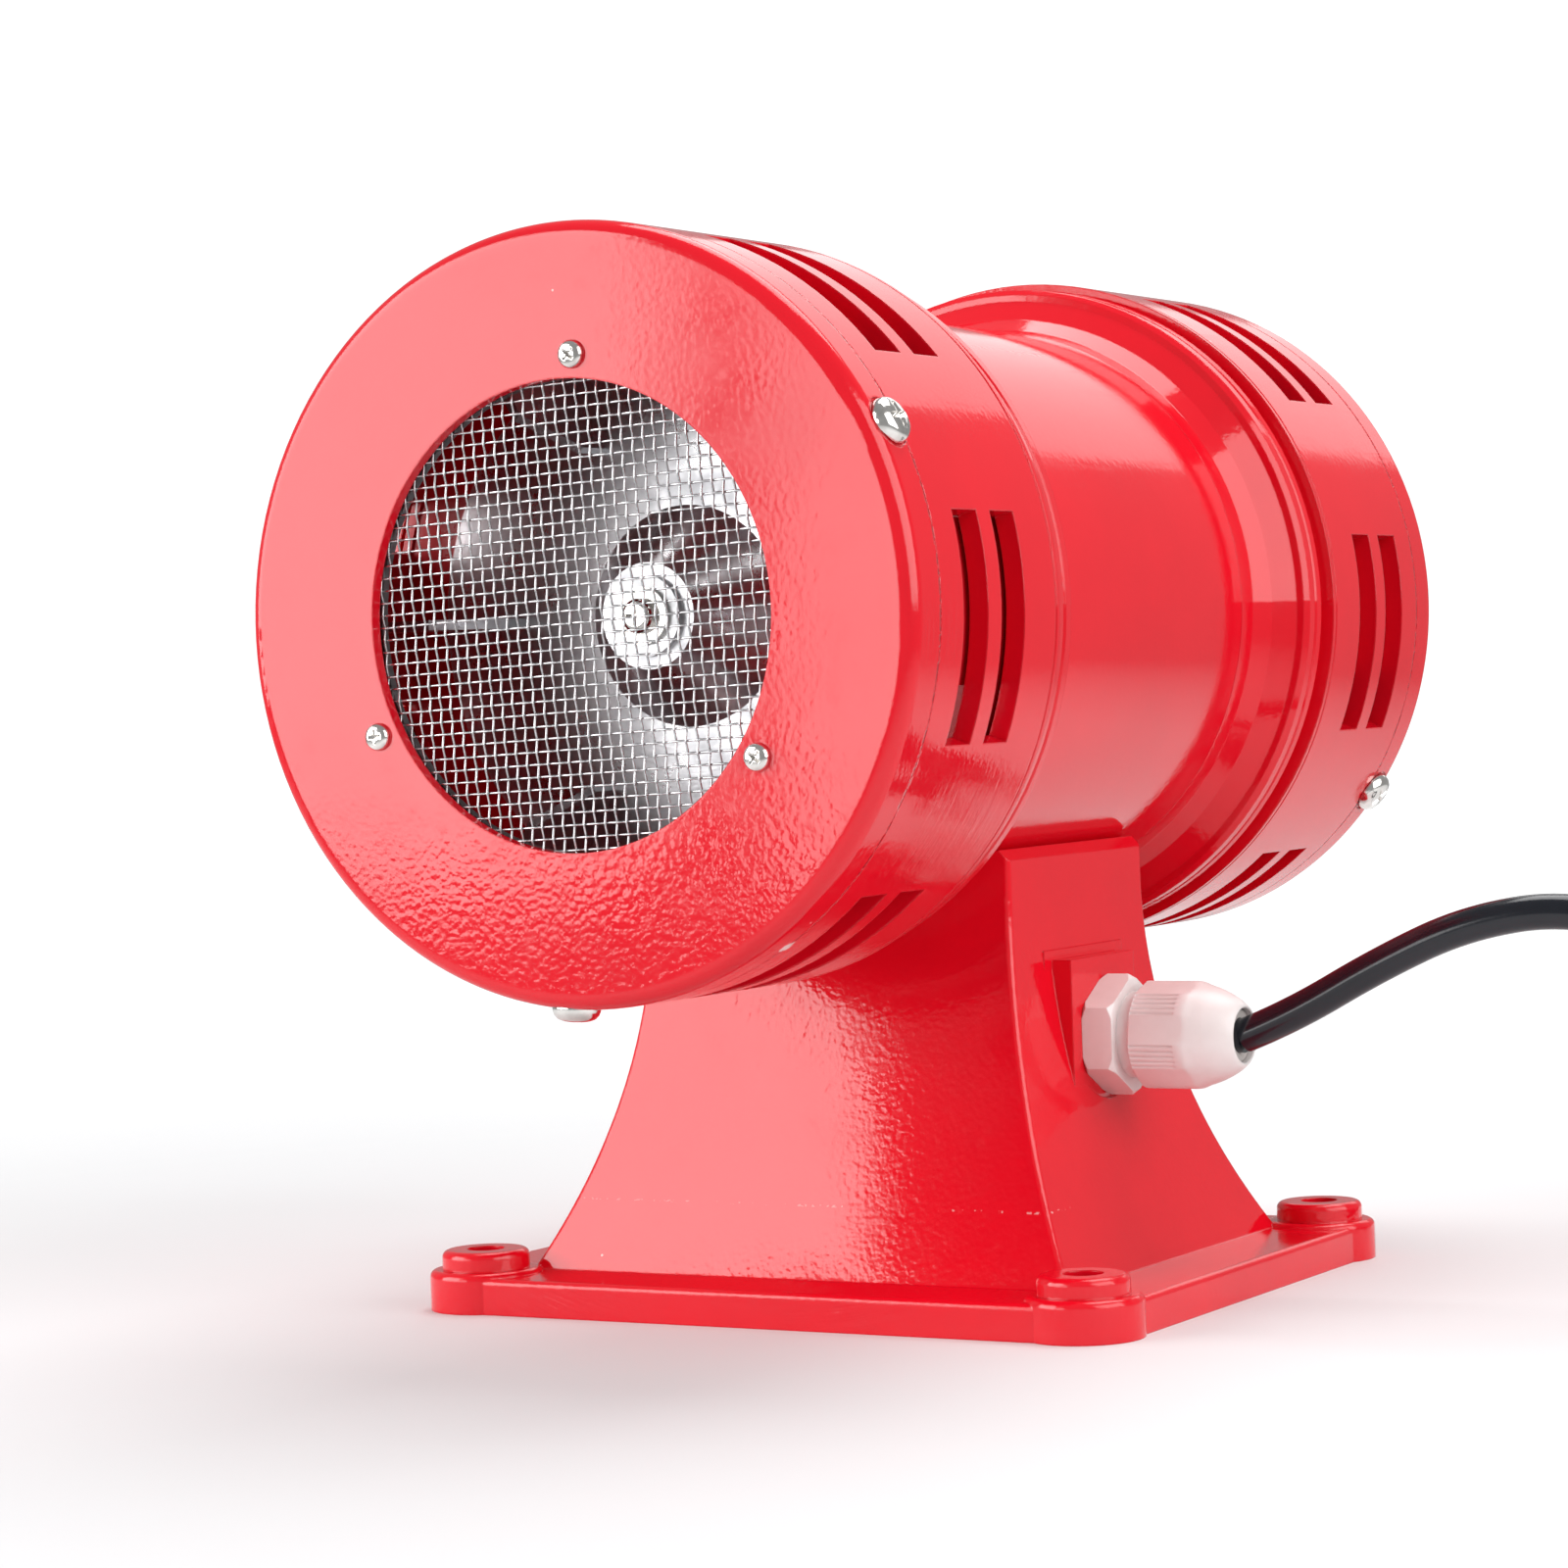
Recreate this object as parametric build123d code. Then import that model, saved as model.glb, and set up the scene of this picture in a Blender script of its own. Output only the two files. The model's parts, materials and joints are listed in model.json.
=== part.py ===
from build123d import *
import math
import os

# Double-headed motor siren: a universal motor in a barrel on a cast pedestal, with a chopper
# head on each end of its shaft. Millimetres, +Z up, rotor axis along Y, front head towards -Y,
# origin on the mounting surface at the centre of the four bolt holes.

# Overall layout
axis_height = 144.0
barrel_radius = 63.0
barrel_wall = 4.5
barrel_half = 45.0
head_radius = 75.0
neck_length = 9.0
rim_length = 13.5
head_length = 48.8
cover_length = 10.2
head_turn = {"front": 4.0, "rear": 54.3}   # how far each head is turned on the barrel, degrees
neck_end = barrel_half + neck_length
head_start = neck_end + rim_length         # inner end of each drum
head_end = head_start + head_length        # seam between drum and cover
cover_end = head_end + cover_length        # outer face of each cover

# Fits
running_fit = 0.05
slide_fit = 0.1
part_gap = 0.3

# Drum and its sound ports
drum_wall = 4.0
drum_flange = 3.0
drum_groove = 0.4
drum_flange_bore = head_radius - 18
port_groups = 6
port_half_angle = 17.0
port_bands = [(head_start + 14.9, head_start + 24.6), (head_start + 29.9, head_start + 39.8)]
spigot_length = 7.3

# Cover, intake mesh and clamp ring
cover_wall = 2.0
cover_face = 2.6
cover_edge = 3.2
intake_radius = 0.6 * head_radius
mesh_radius = intake_radius + 2.4
mesh_pitch = 2.4
mesh_wire = 0.5
mesh_turn = 2.3
ring_outer = intake_radius + 9
ring_thick = 1.8
face_screw_circle = intake_radius + 4.5
face_screw_shank = 1.5
face_screw_angles = [90, 210, 330]
cover_screw_shank = 2.5
cover_screw_station = head_end + 3.5
cover_screw_angles = [150, 270]
cover_screw_seat = 0.5
cover_spot_radius = 5.2
cover_boss_depth = 3.4
cover_boss_radius = 5.0

# Shaft and bearings
journal_radius = 4.0
journal_start = barrel_half + 1
shaft_radius = journal_radius + 2
shaft_thread = 2.0
bearing_start = journal_start + 2
bearing_width = 7.0
bearing_outer = journal_radius + 7
race_thick = 1.9
ball_pitch = journal_radius + 3.6
ball_radius = 1.95
ball_count = 7

# End bell
neck_radius = barrel_radius + 3.2
web_thick = 3.5
rim_station = neck_end + 3.6
rim_radius = head_radius - 1.6
rim_corner = rim_radius - 1.4
rim_wall = 3.2
bell_spigot = 8.0
hub_outer = bearing_outer + 4.5

# Armature and field
core_radius = 0.422 * barrel_radius
core_half = barrel_half - 23
core_slots = 12
slot_width = 0.2 * core_radius
slot_floor = 0.564 * core_radius
winding_over = 9.0
air_gap = 0.6
yoke_thick = 0.175 * barrel_radius
pole_half = 0.564 * core_radius
shoe_thick = 5.0
shoe_half_angle = 58.0
coil_thick = 0.11 * barrel_radius
coil_over = 8.0

# Commutator and brushes
commutator_radius = shaft_radius + 6
commutator_start = core_half + 11
commutator_end = commutator_start + 12
commutator_bars = 12
brush_station = (commutator_start + commutator_end) / 2 + 0.6
brush_wide = 7.0
brush_tall = 6.0
brush_length = 15.0
holder_end = barrel_radius - 21
spring_radius = 2.2
spring_wire = 0.3
spring_turns = 7

# Impeller
impeller_back = head_start + 12.5
impeller_front = head_end - 6.3
impeller_plate = 2.0
impeller_gap = 1.0
impeller_wall = 2.0
bush_radius = journal_radius + 4
bush_length = 22.6
bush_over = 4.0
impeller_hub = bush_radius + 2.5
impeller_cone = 22.0
shaft_end = impeller_back - bush_over + bush_length
vane_count = 6
vane_inner = intake_radius - 6
vane_thick = 2.0
vane_end = impeller_front - 4
spacer_radius = journal_radius + 2
washer_radius = journal_radius + 1.7
washer_thick = 1.2

# Bolts
through_bolt_radius = 2.0
through_bolt_circle = barrel_radius - 10
through_bolt_angles = [45, 135, 225, 315]
flange_screw_circle = head_radius - 10
flange_screw_shank = 2.0
flange_screw_angles = [0, 90, 180, 270]

# Pedestal
base_half_x = 80.8
base_half_y = 69.0
base_thick = 7.5
hole_half_x = base_half_x - 10.3
hole_half_y = base_half_y - 10.4
hole_radius = 4.0
lug_radius = 12.0
lug_height = 8.5
boss_radius = 9.3
boss_height = 12.5
saddle_top = axis_height - 0.79 * barrel_radius
saddle_half_x = 43.3
saddle_half_y = 31.5
foot_half_x = base_half_x - 17.4
foot_half_y = base_half_y - 17.5
flare_top_x = saddle_top - 9.8
flare_top_y = saddle_top - 4.1
pedestal_wall = 4.0
saddle_floor = 5.0
saddle_chamfer = 2.2
saddle_screw_shank = 2.5
saddle_screw_angle = 20.0
saddle_screw_y = 18.0
lead_hole = 7.0

# Cable gland
cord_radius = 3.6
gland_height = 54.0
pad_face = saddle_half_x + 5.2
pad_half = 15.0
pad_top = gland_height + 16.6
plate_thick = 0.8
plate_margin = 3.4
thread_radius = cord_radius + 5.6
thread_length = 14.0
wall_inside = 9.2
gland_flats = 2 * thread_radius + 3.6
gland_corner = gland_flats / math.sqrt(3)
spot_face_radius = gland_corner + 0.7
gland_hex = 6.8
gland_neck = thread_radius - 0.2
gland_neck_length = 3.0
neck_overlap = 8.0
dome_flats = gland_flats - 0.5
dome_hex = 13.0
gland_reach = 32.0
mouth_radius = cord_radius + 2

# Supply cord
cord_floor = cord_radius + slide_fit
coil_x = 180.0
coil_y = 120.0
coil_mid = 41.0
sheath_inside = 24.0
lead_radius = 1.15
lead_gap = 0.4
ferrule_radius = 0.8

# Terminals inside the pedestal
block_x = -20.0
block_size = (20.0, 22.0, 14.0)
terminal_screw = 2.0
pole_half_gap = 5.0
clamp_half = 5.0
tag_thick = 0.8
earth_spot = (19.0, 9.0)

os.makedirs("parts", exist_ok=True)
axis = Pos(0, 0, axis_height)
gland_mouth = pad_face + gland_reach
cavity_top = axis_height - barrel_radius - saddle_floor
wire_level = cavity_top - block_size[2] / 2


def save(name, shape):
    export_step(shape, f"parts/{name}.step")


def lathe(points):
    # Points are (radius, station); the solid turns about the Y axis.
    outline = Polyline(*[(r, s) for r, s in points], close=True)
    return revolve(make_face(outline), Axis.Y, 360)


def ring(outer, inner, start, end):
    return lathe([(inner, start), (outer, start), (outer, end), (inner, end)])


def rod(radius, start, end):
    return lathe([(0, start), (radius, start), (radius, end), (0, end)])


def in_head(shape, side):
    # Shapes for a head are drawn facing +Y and turned to face their own end.
    turn = Rot(0, 0, 180) if side == "front" else Rot(0, 0, 0)
    return axis * turn * shape


def on_head(shape, side):
    # As in_head, and turned on the barrel with its drum and cover.
    return in_head(Rot(0, -head_turn[side], 0) * shape, side)


def polar(radius, angle, station):
    a = math.radians(angle)
    return (radius * math.cos(a), station, radius * math.sin(a))


def along_y(radius, start, end, x=0.0, z=0.0):
    middle = (start + end) / 2
    return Pos(x, middle, z) * Rot(90, 0, 0) * Cylinder(radius, end - start)


def radial_rod(radius, inner, outer, angle, station):
    # A rod that points away from the rotor axis.
    turned = Rot(0, -angle, 0) * Pos((inner + outer) / 2, station, 0)
    return turned * Rot(0, 90, 0) * Cylinder(radius, outer - inner)


def pan_screw(shank, length, head, height):
    # Points along +Z from the underside of its head, which lies below z = 0.
    body = Pos(0, 0, length / 2) * Cylinder(shank, length)
    cap = Pos(0, 0, -height / 2) * Cylinder(head, height)
    cap = fillet(cap.edges().group_by(Axis.Z)[0], height * 0.55)
    cross = Pos(0, 0, -height) * Box(head * 1.1, head * 0.24, height * 0.9)
    cross += Pos(0, 0, -height) * Box(head * 0.24, head * 1.1, height * 0.9)
    return body + cap - cross


def wire(points, radius, arcs):
    path = FilletPolyline(*points, radius=arcs)
    start = Plane(path @ 0, z_dir=path % 0)
    return sweep(start * Circle(radius), path)


def bend_radii(points):
    # Each arc is as large as its two runs allow.
    radii = []
    for before, here, after in zip(points, points[1:], points[2:]):
        a = Vector(*here) - Vector(*before)
        b = Vector(*after) - Vector(*here)
        half_turn = math.radians(a.get_angle(b)) / 2
        radii.append(0.45 * min(a.length, b.length) / math.tan(half_turn))
    return radii


# Heads

def make_drum(side):
    outer, inner = head_radius, head_radius - drum_wall
    spigot = outer - cover_wall - slide_fit
    body = lathe([
        (drum_flange_bore, head_start), (outer, head_start), (outer, head_start + 1.2),
        (outer - drum_groove, head_start + 1.4), (outer - drum_groove, head_start + 1.7),
        (outer, head_start + 1.9), (outer, head_end), (spigot, head_end),
        (spigot, head_end + spigot_length), (inner, head_end + spigot_length),
        (inner, head_start + drum_flange), (drum_flange_bore, head_start + drum_flange)])
    for group in range(port_groups):
        centre = group * 360 / port_groups
        for start, end in port_bands:
            body -= port_cutter(inner - 1, outer + 1, start, end, centre)
    for angle in cover_screw_angles:
        boss = radial_rod(cover_boss_radius, spigot - cover_boss_depth, spigot - 0.5, angle,
                          cover_screw_station)
        keep = ring(spigot - 0.4, spigot - cover_boss_depth, head_end + 0.2,
                    head_end + spigot_length)
        body += boss & keep
        body -= radial_rod(cover_screw_shank, spigot - 9, spigot + 2, angle, cover_screw_station)
        body -= radial_rod(cover_spot_radius, outer - cover_screw_seat, outer + 3, angle,
                           cover_screw_station)
    for angle in flange_screw_angles:
        x, _, z = polar(flange_screw_circle, angle, 0)
        body -= along_y(flange_screw_shank + part_gap, head_start - 1,
                        head_start + drum_flange + 1, x, z)
    return on_head(body, side)


def port_cutter(inner, outer, start, end, centre):
    # A radial-walled window: a slice of a ring between two angles.
    low = math.radians(centre - port_half_angle)
    high = math.radians(centre + port_half_angle)
    reach = outer / math.cos((high - low) / 2) + 1
    wedge = Polyline((0, 0), (reach * math.cos(low), reach * math.sin(low)),
                     (reach * math.cos(high), reach * math.sin(high)), close=True)
    slab = extrude(make_face(Plane.XZ * wedge), amount=end - start, dir=(0, 1, 0))
    return (Pos(0, start, 0) * slab) & ring(outer, inner, start - 1, end + 1)


def make_cover(side):
    outer, skirt = head_radius, head_radius - cover_wall
    face = cover_end - cover_face
    profile = make_face(Polyline(
        (intake_radius, cover_end), (outer, cover_end), (outer, head_end + 0.05),
        (skirt, head_end + 0.05), (skirt, face), (intake_radius, face), close=True))
    corner = profile.vertices().sort_by(lambda v: v.X + v.Y)[-1]
    profile = fillet(corner, cover_edge)
    body = revolve(profile, Axis.Y, 360)
    for angle in face_screw_angles:
        x, _, z = polar(face_screw_circle, angle, 0)
        body -= along_y(face_screw_shank + slide_fit, face - 1, cover_end + 1, x, z)
    for angle in cover_screw_angles:
        body -= radial_rod(cover_screw_shank + slide_fit, skirt - 1, outer + 1, angle,
                           cover_screw_station)
        body -= radial_rod(cover_spot_radius, outer - cover_screw_seat, outer + 3, angle,
                           cover_screw_station)
    return on_head(body, side)


def make_mesh(side):
    # Two layers of straight wires, crossing, behind the cover's lip.
    face = cover_end - cover_face
    wires = []
    steps = int(mesh_radius // mesh_pitch)
    for layer in range(2):
        station = face - part_gap / 3 - mesh_wire * (0.5 + layer * 1.02)
        for step in range(-steps, steps + 1):
            offset = (step + 0.5) * mesh_pitch
            if abs(offset) > mesh_radius - 2:
                continue
            half = math.sqrt(mesh_radius ** 2 - offset ** 2)
            bar = Cylinder(mesh_wire / 2, 2 * half)
            if layer == 0:
                wires.append(Pos(offset, station, 0) * bar)
            else:
                wires.append(Pos(0, station, offset) * Rot(0, 90, 0) * bar)
    return in_head(Rot(0, mesh_turn, 0) * Compound(children=wires), side)


def make_clamp_ring(side):
    # A stepped ring: its inner part presses the mesh, its outer part meets the cover.
    face = cover_end - cover_face
    seat = face - part_gap / 3 - mesh_wire * 2.1
    back = seat - ring_thick
    body = lathe([
        (intake_radius + 0.2, back), (ring_outer, back), (ring_outer, face),
        (mesh_radius + 0.2, face), (mesh_radius + 0.2, seat), (intake_radius + 0.2, seat)])
    for angle in face_screw_angles:
        x, _, z = polar(face_screw_circle, angle, 0)
        body -= along_y(face_screw_shank, back - 1, face + 1, x, z)
    return on_head(body, side)


def make_face_screws(side):
    screws = []
    for angle in face_screw_angles:
        screw = pan_screw(face_screw_shank - running_fit, 5.6, 2.75, 1.7)
        x, _, z = polar(face_screw_circle, angle, 0)
        screws.append(Pos(x, cover_end, z) * Rot(90, 0, 0) * Rot(0, 0, angle) * screw)
    return on_head(Compound(children=screws), side)


def make_cover_screws(side):
    screws = []
    for angle in cover_screw_angles:
        screw = pan_screw(cover_screw_shank - running_fit, 7.0, 4.75, 3.3)
        seat = Pos(head_radius - cover_screw_seat, cover_screw_station, 0) * Rot(0, -90, 0)
        screws.append(Rot(0, -angle, 0) * seat * Rot(0, 0, 30) * screw)
    return on_head(Compound(children=screws), side)


def both_ends(make_one):
    return Compound(children=[make_one(side) for side in ("front", "rear")])


def flange_screws_of(side):
    screws = []
    for angle in flange_screw_angles:
        screw = pan_screw(flange_screw_shank - running_fit, 9.0, 3.9, 2.6)
        x, _, z = polar(flange_screw_circle, angle, 0)
        station = head_start + drum_flange
        screws.append(Pos(x, station, z) * Rot(90, 0, 0) * screw)
    return on_head(Compound(children=screws), side)


def make_end_bell(side):
    inner = barrel_radius - barrel_wall
    spigot = inner - running_fit
    web_out = neck_end + web_thick
    body = lathe([
        (bearing_outer - 2, bearing_start + bearing_width + 2),
        (bearing_outer - 2, bearing_start + bearing_width),
        (bearing_outer, bearing_start + bearing_width),
        (bearing_outer, journal_start), (hub_outer, journal_start), (hub_outer + 1.5, neck_end),
        (spigot - 4, neck_end), (spigot - 4, barrel_half - bell_spigot),
        (spigot, barrel_half - bell_spigot), (spigot, barrel_half),
        (barrel_radius, barrel_half), (barrel_radius + 0.6, barrel_half + 4.5),
        (neck_radius, neck_end), (rim_corner - 1.5, rim_station), (rim_corner, rim_station + 0.2),
        (rim_radius - 0.3, rim_station + 1.2), (rim_radius - 0.2, rim_station + 3.6),
        (rim_radius - 0.9, rim_station + 4.2), (rim_radius - 0.2, rim_station + 4.8),
        (rim_radius, rim_station + 6.6), (rim_radius - 0.6, head_start - 1.6),
        (rim_corner, head_start - 1.2), (rim_corner, head_start),
        (rim_corner - rim_wall, head_start), (rim_corner - rim_wall, rim_station + web_thick),
        (neck_radius - 2, web_out + 1), (hub_outer + 1.5, web_out + 1),
        (hub_outer, bearing_start + bearing_width + 2)])
    turn = Rot(0, -head_turn[side], 0)
    for angle in flange_screw_angles:
        x, _, z = polar(flange_screw_circle, angle, 0)
        pillar = along_y(5.0, web_out, head_start, x, z)
        body += turn * pillar
    for angle in flange_screw_angles:
        x, _, z = polar(flange_screw_circle, angle, 0)
        body -= turn * along_y(flange_screw_shank, head_start - 7, head_start + 1, x, z)
    for angle in through_bolt_angles:
        x, _, z = polar(through_bolt_circle, angle, 0)
        body -= along_y(through_bolt_radius + slide_fit, neck_end - 2, web_out + 2, x, z)
        body -= along_y(through_bolt_radius + 0.7, barrel_half - bell_spigot - 1, neck_end, x, z)
    return in_head(body, side)


# Motor

def make_barrel():
    inner = barrel_radius - barrel_wall
    body = ring(barrel_radius, inner, -barrel_half, barrel_half)
    for y in (-saddle_screw_y, saddle_screw_y):
        for angle in (-90 - saddle_screw_angle, -90 + saddle_screw_angle):
            body -= radial_rod(saddle_screw_shank, inner - 2, barrel_radius + 2, angle, y)
    body -= radial_rod(lead_hole, inner - 2, barrel_radius + 2, -90, 0)
    return axis * body


def make_stator():
    bore = core_radius + air_gap
    outer = barrel_radius - barrel_wall - running_fit
    yoke = ring(outer, outer - yoke_thick, -core_half, core_half)
    pole = Box(2 * outer - 2, 2 * core_half, 2 * pole_half)
    pole &= ring(outer - yoke_thick + 2, bore, -core_half, core_half)
    shoe = ring(bore + shoe_thick, bore, -core_half, core_half)
    shoe_tall = 2 * (bore + shoe_thick) * math.sin(math.radians(shoe_half_angle))
    shoe &= Box(2 * outer, 2 * core_half, shoe_tall)
    span = Box(0.55 * bore, 2 * core_half + 2, 4 * outer)
    body = yoke + pole + (shoe - span)
    for angle in through_bolt_angles:
        x, _, z = polar(through_bolt_circle, angle, 0)
        body -= along_y(through_bolt_radius + part_gap, -core_half - 1, core_half + 1, x, z)
    body -= Pos(0, 0, -outer) * Box(2 * lead_hole, 2 * lead_hole, 8)
    return axis * body


def make_field_coils():
    bore = core_radius + air_gap
    outer = barrel_radius - barrel_wall - running_fit - yoke_thick
    low = bore + shoe_thick + part_gap
    high = math.sqrt((outer - part_gap) ** 2 - (pole_half + part_gap + coil_thick) ** 2)
    coils = []
    for sign in (-1, 1):
        middle = sign * (low + high) / 2
        wide = 2 * (pole_half + part_gap + coil_thick)
        long = 2 * (core_half + coil_over)
        coil = Pos(middle, 0, 0) * Box(high - low, long, wide)
        coil = fillet(coil.edges().filter_by(Axis.X), coil_thick * 0.8)
        hole_long = 2 * (core_half + part_gap)
        coil -= Pos(middle, 0, 0) * Box(high - low + 2, hole_long, 2 * (pole_half + part_gap))
        coils.append(coil)
    return axis * Compound(children=coils)


def make_shaft():
    body = lathe([
        (0, -shaft_end), (journal_radius - 0.4, -shaft_end), (journal_radius, -shaft_end + 0.4),
        (journal_radius, -journal_start), (shaft_radius, -journal_start),
        (shaft_radius, journal_start), (journal_radius, journal_start),
        (journal_radius, shaft_end - 0.4), (journal_radius - 0.4, shaft_end), (0, shaft_end)])
    body -= rod(shaft_thread, -shaft_end - 1, -shaft_end + 12)
    body -= rod(shaft_thread, shaft_end - 12, shaft_end + 1)
    return axis * body


def make_armature_core():
    body = ring(core_radius, shaft_radius + running_fit, -core_half, core_half)
    depth = core_radius - slot_floor + 1
    for slot in range(core_slots):
        cut = Pos(slot_floor + depth / 2, 0, 0) * Box(depth, 2 * core_half + 2, slot_width)
        body -= Rot(0, slot * 360 / core_slots, 0) * cut
    return axis * body


def make_armature_winding():
    inner = shaft_radius + 2
    gap = slide_fit
    outer = core_radius - 1.6
    ends = ring(outer, inner, core_half + gap, core_half + winding_over)
    ends = fillet(ends.edges().group_by(Axis.Y)[-1], 2.5)
    body = ends + Rot(180, 0, 0) * ends
    depth = outer - slot_floor - 2 * gap
    for slot in range(core_slots):
        bar = Pos(slot_floor + gap + depth / 2, 0, 0)
        bar *= Box(depth, 2 * core_half + 2, slot_width - 2 * gap)
        body += Rot(0, slot * 360 / core_slots, 0) * bar
    return axis * body


def make_commutator():
    body = ring(commutator_radius, shaft_radius + running_fit, commutator_start, commutator_end)
    body += ring(commutator_radius + 1.5, commutator_radius - 1, commutator_start,
                 commutator_start + 1.2)
    for bar in range(commutator_bars):
        angle = (bar + 0.5) * 360 / commutator_bars
        groove = Pos(commutator_radius, commutator_start + 8, 0) * Box(1.2, 12, 0.5)
        body -= Rot(0, angle, 0) * groove
    return axis * body


def make_brush_holders():
    holders = []
    for sign in (-1, 1):
        start = commutator_radius + 2.6
        length = holder_end - start
        depth = neck_end - commutator_start - 0.6
        body = Pos(start + length / 2, neck_end - depth / 2, 0) * Box(length, depth, 12)
        body -= Pos(start + 4, neck_end - 4, 0) * Box(10, 10, 14)
        channel = Box(2 * length, brush_wide + 2 * slide_fit, brush_tall + 2 * slide_fit)
        body -= Pos(start + length / 2, brush_station, 0) * channel
        holders.append(body if sign > 0 else mirror(body, Plane.YZ))
    return axis * Compound(children=holders)


def make_brush(sign):
    start = commutator_radius - 1
    body = Pos(start + brush_length / 2, brush_station, 0) * Box(brush_length, brush_wide,
                                                                brush_tall)
    body -= rod(commutator_radius + running_fit, commutator_start, commutator_end + 2)
    if sign < 0:
        body = mirror(body, Plane.YZ)
    return axis * body


def make_brush_spring(sign):
    start = commutator_radius - 1 + brush_length + slide_fit
    rise = holder_end - start - slide_fit - 2 * spring_wire
    helix = Helix(pitch=rise / spring_turns, height=rise, radius=spring_radius)
    section = Plane(helix @ 0, z_dir=helix % 0) * Circle(spring_wire)
    spring = sweep(section, helix, is_frenet=True)
    spring = Pos(start + spring_wire, brush_station, 0) * Rot(0, 90, 0) * spring
    if sign < 0:
        spring = mirror(spring, Plane.YZ)
    return axis * spring


def make_brush_caps():
    caps = []
    for sign in (-1, 1):
        cap = Pos(holder_end + 1, brush_station, 0) * Box(2, 9, 12)
        tab = Pos(holder_end + 4, brush_station, 0) * Box(4.5, 4.8, 0.8)
        caps.append(cap + tab if sign > 0 else mirror(cap + tab, Plane.YZ))
    return axis * Compound(children=caps)


def make_through_bolts():
    bolts = []
    reach = neck_end + web_thick + 1
    for angle in through_bolt_angles:
        x, _, z = polar(through_bolt_circle, angle, 0)
        stud = along_y(through_bolt_radius, -reach, reach + 5, x, z)
        head = along_y(3.5, -reach - 2.8, -reach, x, z)
        bolts.append(stud + head)
    return axis * Compound(children=bolts)


def make_through_nuts():
    nuts = []
    reach = neck_end + web_thick + 1
    for angle in through_bolt_angles:
        x, _, z = polar(through_bolt_circle, angle, 0)
        nut = extrude(RegularPolygon(4.0, 6), 3.2) - Cylinder(through_bolt_radius, 20)
        nuts.append(Pos(x, reach + 3.2, z) * Rot(90, 0, 0) * nut)
    return axis * Compound(children=nuts)


def outer_race(side):
    body = ring(bearing_outer, bearing_outer - race_thick, bearing_start,
                bearing_start + bearing_width)
    return in_head(body - race_groove(), side)


def inner_race(side):
    body = ring(journal_radius + race_thick + 0.2, journal_radius, bearing_start,
                bearing_start + bearing_width)
    return in_head(body - race_groove(), side)


def race_groove():
    middle = bearing_start + bearing_width / 2
    return Pos(0, middle, 0) * Rot(90, 0, 0) * Torus(ball_pitch, ball_radius + 0.03)


def ball_set(side):
    middle = bearing_start + bearing_width / 2
    cage = ring(ball_pitch + 0.5, ball_pitch - 0.5, middle - 2.6, middle + 2.6)
    balls = []
    for ball in range(ball_count):
        angle = ball * 360 / ball_count
        cage -= radial_rod(ball_radius + 0.06, ball_pitch - 1.5, ball_pitch + 1.5, angle, middle)
        balls.append(Pos(*polar(ball_pitch, angle, middle)) * Sphere(ball_radius))
    return in_head(Compound(children=[cage] + balls), side)


# Impellers

def make_impeller(side):
    outer = head_radius - drum_wall - impeller_gap
    inside = outer - impeller_wall
    floor = impeller_back + impeller_plate
    hub_face = shaft_end - 1.4
    body = lathe([
        (bush_radius, impeller_back - bush_over), (impeller_hub, impeller_back - bush_over),
        (impeller_hub, impeller_back), (outer, impeller_back), (outer, impeller_front),
        (inside, impeller_front), (inside, floor), (impeller_cone, floor),
        (impeller_hub, hub_face), (bush_radius, hub_face)])
    low, high = port_bands[0][0], port_bands[-1][1]
    for group in range(port_groups):
        centre = (group + 0.5) * 360 / port_groups
        body -= port_cutter(inside - 1, outer + 1, low + 0.2, high - 0.2, centre)
    for vane in range(vane_count):
        plate = make_face(Polyline((vane_inner, floor - 0.5), (inside + 0.5, floor - 0.5),
                                   (inside + 0.5, vane_end), (intake_radius + 1, vane_end),
                                   (vane_inner, floor + 7), close=True))
        blade = extrude(plate, amount=vane_thick / 2, both=True)
        body += Rot(0, vane * 360 / vane_count, 0) * blade
    return in_head(body, side)


def impeller_bush(side):
    body = ring(bush_radius, journal_radius + running_fit, impeller_back - bush_over, shaft_end)
    return in_head(body, side)


def impeller_spacer(side):
    body = ring(spacer_radius, journal_radius + running_fit,
                bearing_start + bearing_width, impeller_back - bush_over)
    return in_head(body, side)


def impeller_washer(side):
    return in_head(ring(washer_radius, shaft_thread + slide_fit, shaft_end, shaft_end + washer_thick), side)


def impeller_screw(side):
    screw = pan_screw(shaft_thread - running_fit, 10.0, 3.5, 2.4)
    return in_head(Pos(0, shaft_end + washer_thick, 0) * Rot(90, 0, 0) * screw, side)


# Pedestal

def flared_slab(half_top, half_foot, flare_top, top, depth, inset, floor):
    # Straight sides above the flare, then arcs that sweep out to the foot.
    right = Line((half_top - inset, top), (half_top - inset, flare_top))
    sweep_out = TangentArc((half_top - inset, flare_top), (half_foot - inset, base_thick),
                           tangent=(0, -1))
    drop = Line((half_foot - inset, base_thick), (half_foot - inset, floor))
    under = Line((half_foot - inset, floor), (0, floor))
    middle = Line((0, floor), (0, top))
    lid = Line((0, top), (half_top - inset, top))
    half = make_face(Plane.XZ * Wire([right.edge(), sweep_out.edge(), drop.edge(), under.edge(),
                                      middle.edge(), lid.edge()]))
    right_half = extrude(half, amount=depth, both=True)
    return right_half + mirror(right_half, Plane.YZ)


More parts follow.
